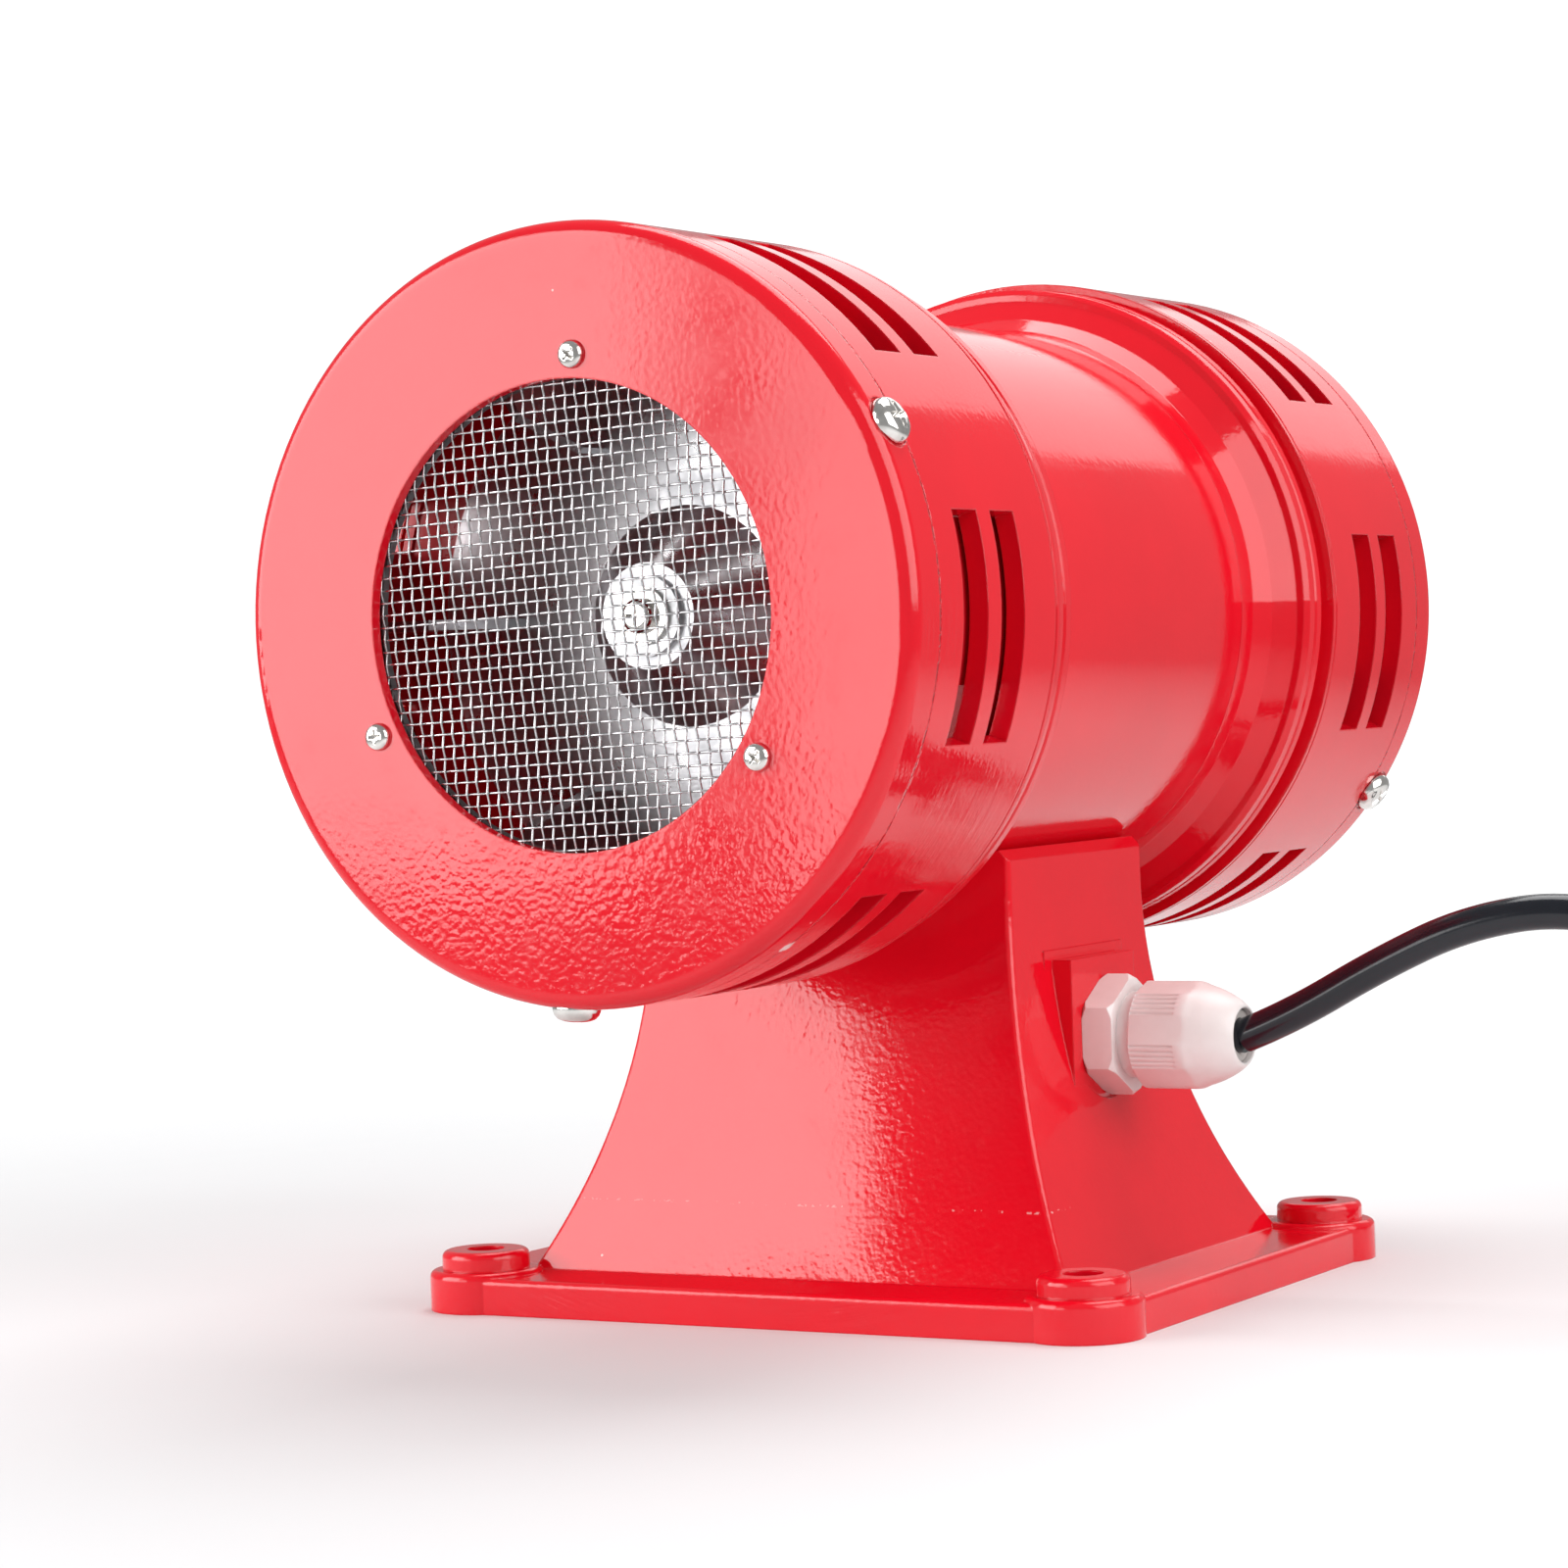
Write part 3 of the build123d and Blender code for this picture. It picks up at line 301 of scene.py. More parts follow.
def makeAroundAxis():
    # turns a place into (arc length, station, distance from the rotor axis)
    group, w = newGroup("aroundAxis", [
        ("Place", "NodeSocketVector", None), ("Axis Height", "NodeSocketFloat", axisHeight),
        ("Arc Radius", "NodeSocketFloat", 0.07),
    ], [("Wrapped", "NodeSocketVector"), ("Radius", "NodeSocketFloat"),
        ("Station", "NodeSocketFloat"), ("Angle", "NodeSocketFloat")])
    given, out = socketsOf(group)
    split = w.add("ShaderNodeSeparateXYZ", None, vector=given["Place"])
    lift = w.math("SUBTRACT", split.outputs[2], given["Axis Height"])
    angle = w.math("ARCTAN2", lift, split.outputs[0])
    arc = w.math("MULTIPLY", angle, given["Arc Radius"])
    square = w.math("ADD", w.math("MULTIPLY", lift, lift),
                    w.math("MULTIPLY", split.outputs[0], split.outputs[0]))
    radius = w.math("SQRT", square)
    joined = w.add("ShaderNodeCombineXYZ", None, x=arc, y=split.outputs[1], z=radius)
    group.links.new(joined.outputs[0], out["Wrapped"])
    group.links.new(radius, out["Radius"])
    group.links.new(split.outputs[1], out["Station"])
    group.links.new(angle, out["Angle"])
    return group


def makeFineWear():
    # crossing hairline scratches and smears, for roughness and a little height
    group, w = newGroup("fineWear", [
        ("Place", "NodeSocketVector", None), ("Scratch Size", "NodeSocketFloat", 260.0),
        ("Smear Size", "NodeSocketFloat", 45.0),
    ], [("Scratches", "NodeSocketFloat"), ("Smears", "NodeSocketFloat")])
    given, out = socketsOf(group)
    lines = None
    for turn in ((0.3, 0.9, 0.2), (1.1, 0.4, 0.8)):
        mapping = w.add("ShaderNodeMapping", {"vector_type": "POINT"}, vector=given["Place"],
                        rotation=turn, scale=(1.0, 0.06, 1.0))
        streak = w.noise(mapping.outputs[0], given["Scratch Size"], 3.0, 0.7)
        thin = w.ramp(streak, 0.0, 1.0, 0.60, 0.68)
        lines = thin if lines is None else w.math("MAXIMUM", lines, thin)
    smear = w.noise(given["Place"], given["Smear Size"], 4.0, 0.6)
    group.links.new(lines, out["Scratches"])
    group.links.new(smear, out["Smears"])
    return group


orangePeel = makeOrangePeel()
aroundAxis = makeAroundAxis()
fineWear = makeFineWear()
print("shared effects built")


def newMaterial(name):
    material = bpy.data.materials.new(name)
    material.use_nodes = True
    tree = material.node_tree
    shader = tree.nodes["Principled BSDF"]
    return material, Wiring(tree), shader


def useGroup(w, group, **inputs):
    node = w.add("ShaderNodeGroup", {"node_tree": group})
    for key, value in inputs.items():
        label = next(s.name for s in node.inputs if s.name.replace(" ", "").lower() == key.lower())
        w.feed(node.inputs[label], value)
    return node.outputs


enamel = {
    "colour": (0.70, 0.0035, 0.014, 1),
    "deep": (0.52, 0.002, 0.010, 1),
    "roughness": 0.075,
    "peelHeight": 0.00004,
    "partingLine": 0.0220,
    "chip": (-0.0709, -0.1163, 0.075),
    "bare": (0.80, 0.74, 0.72, 1),
    "edge": 0.0005,
    "seam": 0.1163,
    "rimStart": 0.0735,
    "rimEnd": 0.0746,
    "streaksFrom": -0.070,
    "streaksTo": -0.066,
    "streakLift": 3.6,
    "seamLift": 3.5,
    "calmShare": 0.4,
    "calmFrom": 0.085,
    "calmTo": 0.125,
}


def makeEnamel():
    material, w, shader = newMaterial("redEnamel")
    place = w.objectPlace()
    peel = useGroup(w, orangePeel, place=place, peelSize=820.0, waveSize=120.0, waveShare=0.45)
    wrap = useGroup(w, aroundAxis, place=place)
    wear = useGroup(w, fineWear, place=place)
    # turning marks left under the paint, only on the barrel-shaped sides of the front head
    side = w.ramp(wrap["Radius"], 0.0, 1.0, enamel["rimStart"], enamel["rimEnd"])
    stretched = w.add("ShaderNodeMapping", {"vector_type": "POINT"}, vector=wrap["Wrapped"],
                      rotation=(0, 0, 0.10), scale=(0.12, 1.0, 1.0)).outputs[0]
    lines = w.noise(stretched, 620.0, 3.0, 0.65)
    patch = w.ramp(w.noise(wrap["Wrapped"], 28.0, 2.0), 0.0, 1.0, 0.44, 0.62)
    front = w.ramp(wrap["Station"], 1.0, 0.0, enamel["streaksFrom"], enamel["streaksTo"])
    low = w.ramp(wrap["Angle"], 1.0, 0.0, -0.05, 0.10)
    streaks = w.math("MULTIPLY", w.math("MULTIPLY", lines, patch),
                     w.math("MULTIPLY", w.math("MULTIPLY", side, front), low))
    # rough paint along the joint between cover and drum
    fromMiddle = w.math("ABSOLUTE", wrap["Station"])
    off = w.math("ABSOLUTE", w.math("SUBTRACT", fromMiddle, enamel["seam"]))
    seam = w.math("MULTIPLY", w.ramp(off, 1.0, 0.0, 0.0001, 0.0005), side)
    beads = w.noise(wrap["Wrapped"], 900.0, 1.0)
    seamHeight = w.math("MULTIPLY", seam, w.ramp(beads, -1.2, 0.6, 0.42, 0.62))
    # the paint lay smoother high up and textured low down
    spread = w.add("ShaderNodeSeparateXYZ", None, vector=place).outputs
    rise = spread[2]
    share = w.ramp(rise, 1.0, enamel["calmShare"], enamel["calmFrom"], enamel["calmTo"])
    calm = w.math("MULTIPLY", peel["Height"], share)
    height = w.math("ADD", calm, w.math("MULTIPLY", streaks, enamel["streakLift"]))
    height = w.math("ADD", height, w.math("MULTIPLY", seamHeight, enamel["seamLift"]))
    edge = w.add("ShaderNodeBevel", {"samples": 4}, radius=enamel["edge"]).outputs[0]
    normal = w.bump(height, enamel["peelHeight"], 1.0, edge)
    cloud = w.ramp(peel["Cloud"], 0.0, 0.35, 0.35, 0.7)
    dark = w.math("MAXIMUM", cloud, w.math("MULTIPLY", seam, w.ramp(beads, 1.0, 0.2, 0.42, 0.6)))
    colour = w.mixColour(dark, enamel["colour"], enamel["deep"])
    # one chip on the joint, and sparse pale specks that are painted highlights on the orange peel
    fromChip = w.vector("DISTANCE", wrap["Wrapped"], enamel["chip"])
    ragged = w.math("ADD", fromChip, w.ramp(beads, -0.0005, 0.0005, 0.3, 0.7))
    chip = w.ramp(ragged, 1.0, 0.0, 0.0014, 0.0017)
    # painted highlight: rare small cells turn pale, standing in for glints on the peel
    cells = w.add("ShaderNodeTexVoronoi", None, vector=place, scale=150.0)
    cellTint = w.add("ShaderNodeSeparateColor", None, color=cells.outputs[1])
    rare = w.math("GREATER_THAN", cellTint.outputs[0], 0.93)
    glintSpeck = w.math("MULTIPLY", rare, w.math("LESS_THAN", cells.outputs[0], 0.045))
    # a faint row of specks where the casting's parting line was dressed
    fromLine = w.math("ABSOLUTE", w.math("SUBTRACT", rise, enamel["partingLine"]))
    dots = w.ramp(w.noise(place, 900.0, 1.0), 0.0, 0.7, 0.60, 0.66)
    line = w.math("MULTIPLY", w.ramp(fromLine, 1.0, 0.0, 0.00012, 0.00030), dots)
    line = w.math("MULTIPLY", line, w.ramp(spread[0], 0.12, 0.55, -0.01, 0.03))
    line = w.math("MULTIPLY", line, w.ramp(spread[1], 1.0, 0.0, -0.040, -0.034))
    marks = w.math("MAXIMUM", line, w.math("MULTIPLY", glintSpeck, 0.6))
    # pale colour for the chip and the parting line, and painted highlight for the specks
    colour = w.mixColour(w.math("MAXIMUM", chip, marks), colour, enamel["bare"])
    rough = w.ramp(wear["Smears"], enamel["roughness"] - 0.02, enamel["roughness"] + 0.05, 0.3, 0.7)
    rough = w.math("ADD", rough, w.math("MULTIPLY", wear["Scratches"], 0.05))
    w.feed(shader.inputs["Base Color"], colour)
    w.feed(shader.inputs["Roughness"], rough)
    w.feed(shader.inputs["Normal"], normal)
    shader.inputs["IOR"].default_value = 1.52
    return material


def makeMetal(name, colour, shade, roughness, grain, height, turned=0.0, redReflectionFrom=0.0):
    # bare or plated metal: smears, hairlines, turning rings where turned, and beyond a given radius a
    # painted reflection and shade in dark red non-metal colour
    material, w, shader = newMaterial(name)
    place = w.objectPlace()
    wear = useGroup(w, fineWear, place=place, scratchSize=grain, smearSize=grain * 0.3)
    level = w.math("ADD", w.math("MULTIPLY", wear["Scratches"], 0.4), wear["Smears"])
    if turned > 0:
        wrap = useGroup(w, aroundAxis, place=place)
        rings = w.add("ShaderNodeMapping", {"vector_type": "POINT"}, vector=wrap["Wrapped"],
                      scale=(0.01, 1.0, 1.0)).outputs[0]
        level = w.math("ADD", level, w.math("MULTIPLY", w.noise(rings, 2200.0, 2.0), turned))
    tint = w.mixColour(w.ramp(wear["Smears"], 0.0, 1.0, 0.35, 0.7), colour, shade)
    rough = w.ramp(wear["Smears"], roughness * 0.8, roughness * 1.4, 0.3, 0.75)
    w.feed(shader.inputs["Base Color"], tint)
    w.feed(shader.inputs["Roughness"], rough)
    w.feed(shader.inputs["Normal"], w.bump(level, height))
    shader.inputs["Metallic"].default_value = 1.0
    if redReflectionFrom > 0:
        # painted reflection and shade: beyond this radius the metal turns dark red, standing in for the
        # red casing seen in it and the shade inside the head
        painted = w.ramp(wrap["Radius"], 0.0, 1.0, redReflectionFrom - 0.0004, redReflectionFrom)
        w.feed(shader.inputs["Base Color"], w.mixColour(painted, tint, enamel["deep"]))
        w.feed(shader.inputs["Metallic"], w.math("SUBTRACT", 1.0, painted))
    return material


def makeMoulded(name, colour, shade, roughness, grain, height, edge=0.0):
    # moulded or wound stuff: soft mottling with a fine surface grain
    material, w, shader = newMaterial(name)
    place = w.objectPlace()
    mottle = w.noise(place, grain * 0.08, 3.0, 0.6)
    fine = w.noise(place, grain, 2.0, 0.6)
    tint = w.mixColour(w.ramp(mottle, 0.0, 1.0, 0.3, 0.7), colour, shade)
    level = w.math("ADD", fine, w.math("MULTIPLY", mottle, 0.5))
    rounded = None
    if edge > 0:
        rounded = w.add("ShaderNodeBevel", {"samples": 4}, radius=edge).outputs[0]
    w.feed(shader.inputs["Base Color"], tint)
    w.feed(shader.inputs["Roughness"], w.ramp(fine, roughness * 0.85, roughness * 1.2, 0.3, 0.7))
    w.feed(shader.inputs["Normal"], w.bump(level, height, 1.0, rounded))
    return material


def makeCoreColours():
    # the three cores of the tail, told apart by where they lie
    material, w, shader = newMaterial("coreInsulation")
    place = w.objectPlace()
    split = w.add("ShaderNodeSeparateXYZ", None, vector=place)
    fine = w.noise(place, 1500.0, 2.0)
    north = w.ramp(split.outputs[1], 0.0, 1.0, 0.1683, 0.1686)
    south = w.ramp(split.outputs[1], 1.0, 0.0, 0.1662, 0.1665)
    colour = w.mixColour(south, (0.10, 0.35, 0.05, 1), (0.11, 0.045, 0.02, 1))
    colour = w.mixColour(north, colour, (0.02, 0.12, 0.45, 1))
    colour = w.mixColour(w.ramp(fine, 0.0, 0.2, 0.3, 0.7), colour, (0.02, 0.02, 0.02, 1))
    w.feed(shader.inputs["Base Color"], colour)
    w.feed(shader.inputs["Roughness"], w.ramp(fine, 0.3, 0.4, 0.3, 0.7))
    w.feed(shader.inputs["Normal"], w.bump(fine, 0.00001))
    return material


finishes = {
    "red_enamel": makeEnamel(),
    "dark_zinc": makeMetal("darkZinc", (0.42, 0.42, 0.43, 1), (0.30, 0.30, 0.31, 1),
                           0.38, 500, 0.00001),
    "steel_mesh": makeMetal("meshSteel", (0.66, 0.66, 0.67, 1), (0.48, 0.48, 0.49, 1),
                            0.24, 900, 0.000005),
    # the impeller's dark red beyond 58 mm from the axis is painted reflection and shade
    "cast_aluminium": makeMetal("turnedAluminium", (0.74, 0.74, 0.76, 1), (0.50, 0.50, 0.52, 1),
                                0.30, 420, 0.00002, turned=1.2, redReflectionFrom=0.058),
    "nickel_screw": makeMetal("nickelPlate", (0.86, 0.84, 0.81, 1), (0.62, 0.60, 0.57, 1),
                              0.13, 900, 0.000006),
    "turned_steel": makeMetal("turnedSteel", (0.60, 0.60, 0.61, 1), (0.45, 0.45, 0.46, 1),
                              0.30, 500, 0.00001, turned=0.6),
    "bearing_steel": makeMetal("bearingSteel", (0.75, 0.75, 0.76, 1), (0.6, 0.6, 0.6, 1),
                               0.12, 900, 0.000004),
    "electrical_steel": makeMetal("laminations", (0.36, 0.37, 0.40, 1), (0.22, 0.23, 0.26, 1),
                                  0.45, 300, 0.00003, turned=2.0),
    "copper_winding": makeMetal("enamelledCopper", (0.55, 0.20, 0.07, 1), (0.36, 0.12, 0.04, 1),
                                0.3, 800, 0.00005, turned=1.5),
    "commutator_copper": makeMetal("barCopper", (0.80, 0.42, 0.24, 1), (0.55, 0.26, 0.14, 1),
                                   0.25, 600, 0.00001, turned=0.8),
    "brush_carbon": makeMoulded("carbon", (0.035, 0.035, 0.04, 1), (0.06, 0.06, 0.065, 1),
                                0.55, 2500, 0.00002),
    "brown_moulding": makeMoulded("brownMoulding", (0.11, 0.045, 0.025, 1), (0.07, 0.03, 0.018, 1),
                                  0.35, 1200, 0.00001),
    "brass_plain": makeMetal("plainBrass", (0.80, 0.58, 0.26, 1), (0.60, 0.42, 0.18, 1),
                             0.25, 700, 0.000008),
    "pale_nylon": makeMoulded("paleNylon", (0.80, 0.745, 0.735, 1), (0.74, 0.68, 0.665, 1),
                              0.34, 1400, 0.000012, edge=0.0003),
    "grey_rubber": makeMoulded("sealRubber", (0.55, 0.50, 0.48, 1), (0.46, 0.42, 0.40, 1),
                               0.5, 1600, 0.00002, edge=0.0002),
    "black_pvc": makeMoulded("cableSheath", (0.006, 0.008, 0.013, 1), (0.010, 0.012, 0.018, 1),
                             0.17, 900, 0.000003),
    "core_insulation": makeCoreColours(),
    "earth_insulation": makeMoulded("earthInsulation", (0.12, 0.34, 0.05, 1), (0.5, 0.45, 0.05, 1),
                                    0.35, 900, 0.00001),
    "red_lead": makeMoulded("leadInsulation", (0.45, 0.02, 0.02, 1), (0.35, 0.015, 0.015, 1),
                            0.4, 1200, 0.00001),
    "tinned_copper": makeMetal("tinnedCopper", (0.72, 0.71, 0.69, 1), (0.55, 0.54, 0.52, 1),
                               0.22, 700, 0.000008),
    "white_ceramic": makeMoulded("terminalBody", (0.78, 0.76, 0.71, 1), (0.7, 0.68, 0.63, 1),
                                 0.3, 1000, 0.00001),
}
for part in frame["record"]["subparts"]:
    node = frame["nodes"][part["node"]]
    for holder in node.material_slots:
        holder.material = finishes[part["material_slot"]]
print("materials built:", len(finishes))


studio = {
    "floorSize": 3.0,
    "floorColour": (0.72, 0.725, 0.73, 1),
    "floorShade": (0.70, 0.705, 0.715, 1),
    "fadeStart": 0.36,
    "fadeEnd": 0.85,
    "seen": 1.15,
    "ambient": 0.34,
    "lights": [
        {"name": "frontSoftbox", "place": (-1.26, -1.14, 0.60), "aim": (0, -0.05, 0.12),
         "size": (1.25, 1.24), "glow": 5.4},
        {"name": "lowCard", "place": (-0.51, -1.53, 0.22), "aim": (0.03, -0.13, 0.20),
         "size": (0.48, 0.43), "glow": 4.2},
        {"name": "rightSoftbox", "place": (1.70, -0.30, 0.90), "aim": (0, 0, 0.12),
         "size": (1.90, 1.60), "glow": 3.4},
        {"name": "backSoftbox", "place": (-0.20, 1.55, 1.00), "aim": (0, 0, 0.15),
         "size": (1.30, 0.70), "glow": 1.1},
        {"name": "topSoftbox", "place": (0.05, 0.55, 1.60), "aim": (0, 0, 0),
         "size": (1.20, 1.20), "glow": 4.4},
    ],
}


def makeFloor():
    bm = bmesh.new()
    bmesh.ops.create_grid(bm, x_segments=8, y_segments=8, size=studio["floorSize"] / 2)
    material, w, shader = newMaterial("paleFloor")
    place = w.objectPlace()
    mottle = w.noise(place, 6.0, 4.0, 0.6)
    tint = w.mixColour(mottle, studio["floorColour"], studio["floorShade"])
    w.feed(shader.inputs["Base Color"], tint)
    w.feed(shader.inputs["Roughness"], w.ramp(mottle, 0.7, 0.85))
    reach = w.vector("LENGTH", place)
    w.feed(shader.inputs["Alpha"], w.ramp(reach, 1.0, 0.0, studio["fadeStart"], studio["fadeEnd"]))
    floor = addMesh("studioFloor", meshFromBmesh("studioFloor", bm), material)


def makeWorld():
    world = bpy.data.worlds.new("studioAir")
    scene.world = world
    world.use_nodes = True
    tree = world.node_tree
    seen = tree.nodes["Background"]
    seen.inputs[0].default_value = (1, 1, 1, 1)
    seen.inputs[1].default_value = studio["seen"]
    ambient = tree.nodes.new("ShaderNodeBackground")
    ambient.inputs[0].default_value = (1, 1, 1, 1)
    ambient.inputs[1].default_value = studio["ambient"]
    path = tree.nodes.new("ShaderNodeLightPath")
    mix = tree.nodes.new("ShaderNodeMixShader")
    tree.links.new(path.outputs["Is Camera Ray"], mix.inputs[0])
    tree.links.new(ambient.outputs[0], mix.inputs[1])
    tree.links.new(seen.outputs[0], mix.inputs[2])
    tree.links.new(mix.outputs[0], tree.nodes["World Output"].inputs[0])


def makeLights():
    for lamp in studio["lights"]:
        data = bpy.data.lights.new(lamp["name"], "AREA")
        data.shape = "RECTANGLE"
        data.size, data.size_y = lamp["size"]
        data.energy = lamp["glow"] * math.pi * data.size * data.size_y
        light = bpy.data.objects.new(lamp["name"], data)
        scene.collection.objects.link(light)
        light.location = lamp["place"]
        aim = Vector(lamp["aim"]) - light.location
        light.rotation_euler = aim.to_track_quat("-Z", "Y").to_euler()
        light.visible_camera = False


makeFloor()
makeWorld()
makeLights()
scene.view_settings.view_transform = "Standard"
print("floor and lights placed")


def newGeometryTree(name, inputs):
    tree = bpy.data.node_groups.new(name, "GeometryNodeTree")
    tree.is_modifier = True
    for label, kind, value in inputs:
        socket = tree.interface.new_socket(label, in_out="INPUT", socket_type=kind)
        if value is not None:
            socket.default_value = value
    tree.interface.new_socket("Geometry", in_out="OUTPUT", socket_type="NodeSocketGeometry")
    w = Wiring(tree)
    given = tree.nodes.new("NodeGroupInput").outputs
    return tree, w, given


def finishTree(w, given, geometry):
    joined = w.add("GeometryNodeRealizeInstances", None, geometry=geometry).outputs[0]
    smooth = w.add("GeometryNodeSetShadeSmooth", None, geometry=joined).outputs[0]
    painted = w.add("GeometryNodeSetMaterial", None, geometry=smooth, material=given["Finish"])
    end = w.tree.nodes.new("NodeGroupOutput")
    w.tree.links.new(painted.outputs[0], end.inputs[0])


def bakeTree(name, tree, values):
    # runs a tree on an empty mesh and keeps the result as a plain mesh
    holder = bpy.data.objects.new(name + "Holder", bpy.data.meshes.new(name + "Holder"))
    scene.collection.objects.link(holder)
    modifier = holder.modifiers.new("maker", "NODES")
    modifier.node_group = tree
    for item in tree.interface.items_tree:
        if item.item_type == "SOCKET" and item.in_out == "INPUT" and item.name in values:
            modifier[item.identifier] = values[item.name]
    seen = holder.evaluated_get(bpy.context.evaluated_depsgraph_get())
    mesh = bpy.data.meshes.new_from_object(seen)
    mesh.name = name
    holder.modifiers.clear()
    bpy.data.objects.remove(holder)
    obj = bpy.data.objects.new(name, mesh)
    scene.collection.objects.link(obj)
    return obj


weave = {
    "pitch": 0.0024,
    "wireRadius": 0.00025,
    "discRadius": 0.0473,
    "rise": 0.00024,
    "wires": 38,
    "stepsPerCell": 3,
    "turn": 2.3,
    "station": 0.123295,
}
weaveSteps = weave["wires"] * weave["stepsPerCell"] + 1


def makeWeaveTree():
    tree, w, given = newGeometryTree("wovenDisc", [
        ("Pitch", "NodeSocketFloat", weave["pitch"]),
        ("Wire Radius", "NodeSocketFloat", weave["wireRadius"]),
        ("Disc Radius", "NodeSocketFloat", weave["discRadius"]),
        ("Rise", "NodeSocketFloat", weave["rise"]),
        ("Wires", "NodeSocketInt", weave["wires"]), ("Steps", "NodeSocketInt", weaveSteps),
        ("Turn", "NodeSocketFloat", 0.0), ("Station", "NodeSocketFloat", 0.0),
        ("Axis Height", "NodeSocketFloat", axisHeight),
        ("Finish", "NodeSocketMaterial", None)])
    layers = []
    for alongX, sign in ((True, 1.0), (False, -1.0)):
        reach = w.math("MULTIPLY", given["Pitch"], w.math("MULTIPLY", given["Wires"], 0.5))
        back = w.math("MULTIPLY", reach, -1.0)
        ends = []
        for side in (back, reach):
            place = {"x": side} if alongX else {"z": side}
            ends.append(w.add("ShaderNodeCombineXYZ", None, **place).outputs[0])
        line = w.add("GeometryNodeCurvePrimitiveLine", None, start=ends[0], end=ends[1]).outputs[0]
        line = w.add("GeometryNodeResampleCurve", None, curve=line, count=given["Steps"]).outputs[0]
        index = w.add("GeometryNodeInputIndex").outputs[0]
        middle = w.math("MULTIPLY", w.math("SUBTRACT", given["Wires"], 1.0), 0.5)
        across = w.math("MULTIPLY", w.math("SUBTRACT", index, middle), given["Pitch"])
        place = {"z": across} if alongX else {"x": across}
        spot = w.add("ShaderNodeCombineXYZ", None, **place).outputs[0]
        points = w.add("GeometryNodePoints", None, count=given["Wires"], position=spot).outputs[0]
        wires = w.add("GeometryNodeInstanceOnPoints", None, points=points, instance=line).outputs[0]
        wires = w.add("GeometryNodeRealizeInstances", None, geometry=wires).outputs[0]
        position = w.add("GeometryNodeInputPosition").outputs[0]
        split = w.add("ShaderNodeSeparateXYZ", None, vector=position)
        waves = []
        for axis in (0, 2):
            turns = w.math("DIVIDE", w.math("MULTIPLY", split.outputs[axis], math.pi), given["Pitch"])
            waves.append(w.math("SINE", turns))
        height = w.math("MULTIPLY", given["Rise"], sign)
        lift = w.math("MULTIPLY", w.math("MULTIPLY", waves[0], waves[1]), height)
        offset = w.add("ShaderNodeCombineXYZ", None, y=lift).outputs[0]
        wires = w.add("GeometryNodeSetPosition", None, geometry=wires, offset=offset).outputs[0]
        square = w.math("ADD", w.math("MULTIPLY", split.outputs[0], split.outputs[0]),
                        w.math("MULTIPLY", split.outputs[2], split.outputs[2]))
        outside = w.math("GREATER_THAN", w.math("SQRT", square), given["Disc Radius"])
        wires = w.add("GeometryNodeDeleteGeometry", {"domain": "POINT"}, geometry=wires,
                      selection=outside).outputs[0]
        section = w.add("GeometryNodeCurvePrimitiveCircle", None, resolution=6,
                        radius=given["Wire Radius"]).outputs[0]
        made = w.add("GeometryNodeCurveToMesh", None, curve=wires, profile_curve=section,
                     fill_caps=True).outputs[0]
        layers.append(made)
    both = w.add("GeometryNodeJoinGeometry")
    for layer in layers:
        w.tree.links.new(layer, both.inputs[0])
    rotation = w.add("ShaderNodeCombineXYZ", None, y=given["Turn"]).outputs[0]
    shift = w.add("ShaderNodeCombineXYZ", None, y=given["Station"], z=given["Axis Height"]).outputs[0]
    moved = w.add("GeometryNodeTransform", None, geometry=both.outputs[0], translation=shift,
                  rotation=rotation).outputs[0]
    finishTree(w, given, moved)
    return tree


def makeMeshes():
    tree = makeWeaveTree()
    for side, sign in (("front", -1), ("rear", 1)):
        mesh = bakeTree(side + "WovenMesh", tree, {
            "Steps": weaveSteps,
            "Turn": math.radians(weave["turn"]) * sign, "Station": weave["station"] * sign,
            "Finish": finishes["steel_mesh"]})
        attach(mesh, "housing")
        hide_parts(side + "_intake_mesh")
        print(side, "mesh:", len(mesh.data.polygons), "faces")


makeMeshes()

screwKinds = {
    "face": {"radius": 0.00275, "height": 0.0017, "shank": 0.00145, "shankLength": 0.004,
             "depth": 0.0011, "circle": 0.0495, "station": 0.1265, "radial": 0, "count": 3,
             "start": {"front": 86.0, "rear": 24.3}},
    "cover": {"radius": 0.00475, "height": 0.0033, "shank": 0.00245, "shankLength": 0.004,
              "depth": 0.0022, "circle": 0.0745, "station": 0.1198, "radial": 1, "count": 2,
              "start": {"front": -94.0, "rear": 204.3}},
}


def crossCutter(name, kind):
    # a cross with tapering wings, for the recess in a screw's head
    reach, half = 0.62 * kind["radius"], 0.13 * kind["radius"]
    corners = []
    for quarter in range(4):
        a = quarter * math.pi / 2
        for along, across in ((half, half), (reach, half), (reach, -half)):
            corners.append((along * math.cos(a) - across * math.sin(a),
                            along * math.sin(a) + across * math.cos(a)))
    corners.sort(key=lambda c: math.atan2(c[1], c[0]))
    bm = bmesh.new()
    loops = []
    for z, grow in ((kind["height"] + 0.0004, 1.15), (kind["height"] - kind["depth"], 0.30)):
        loops.append([bm.verts.new((x * grow, y * grow, z)) for x, y in corners])
    bm.faces.new(loops[0])
    bm.faces.new(list(reversed(loops[1])))
    count = len(corners)
    for i in range(count):
        j = (i + 1) % count
        bm.faces.new((loops[0][i], loops[1][i], loops[1][j], loops[0][j]))
    bmesh.ops.recalc_face_normals(bm, faces=bm.faces)
    obj = bpy.data.objects.new(name, meshFromBmesh(name, bm))
    scene.collection.objects.link(obj)
    return obj


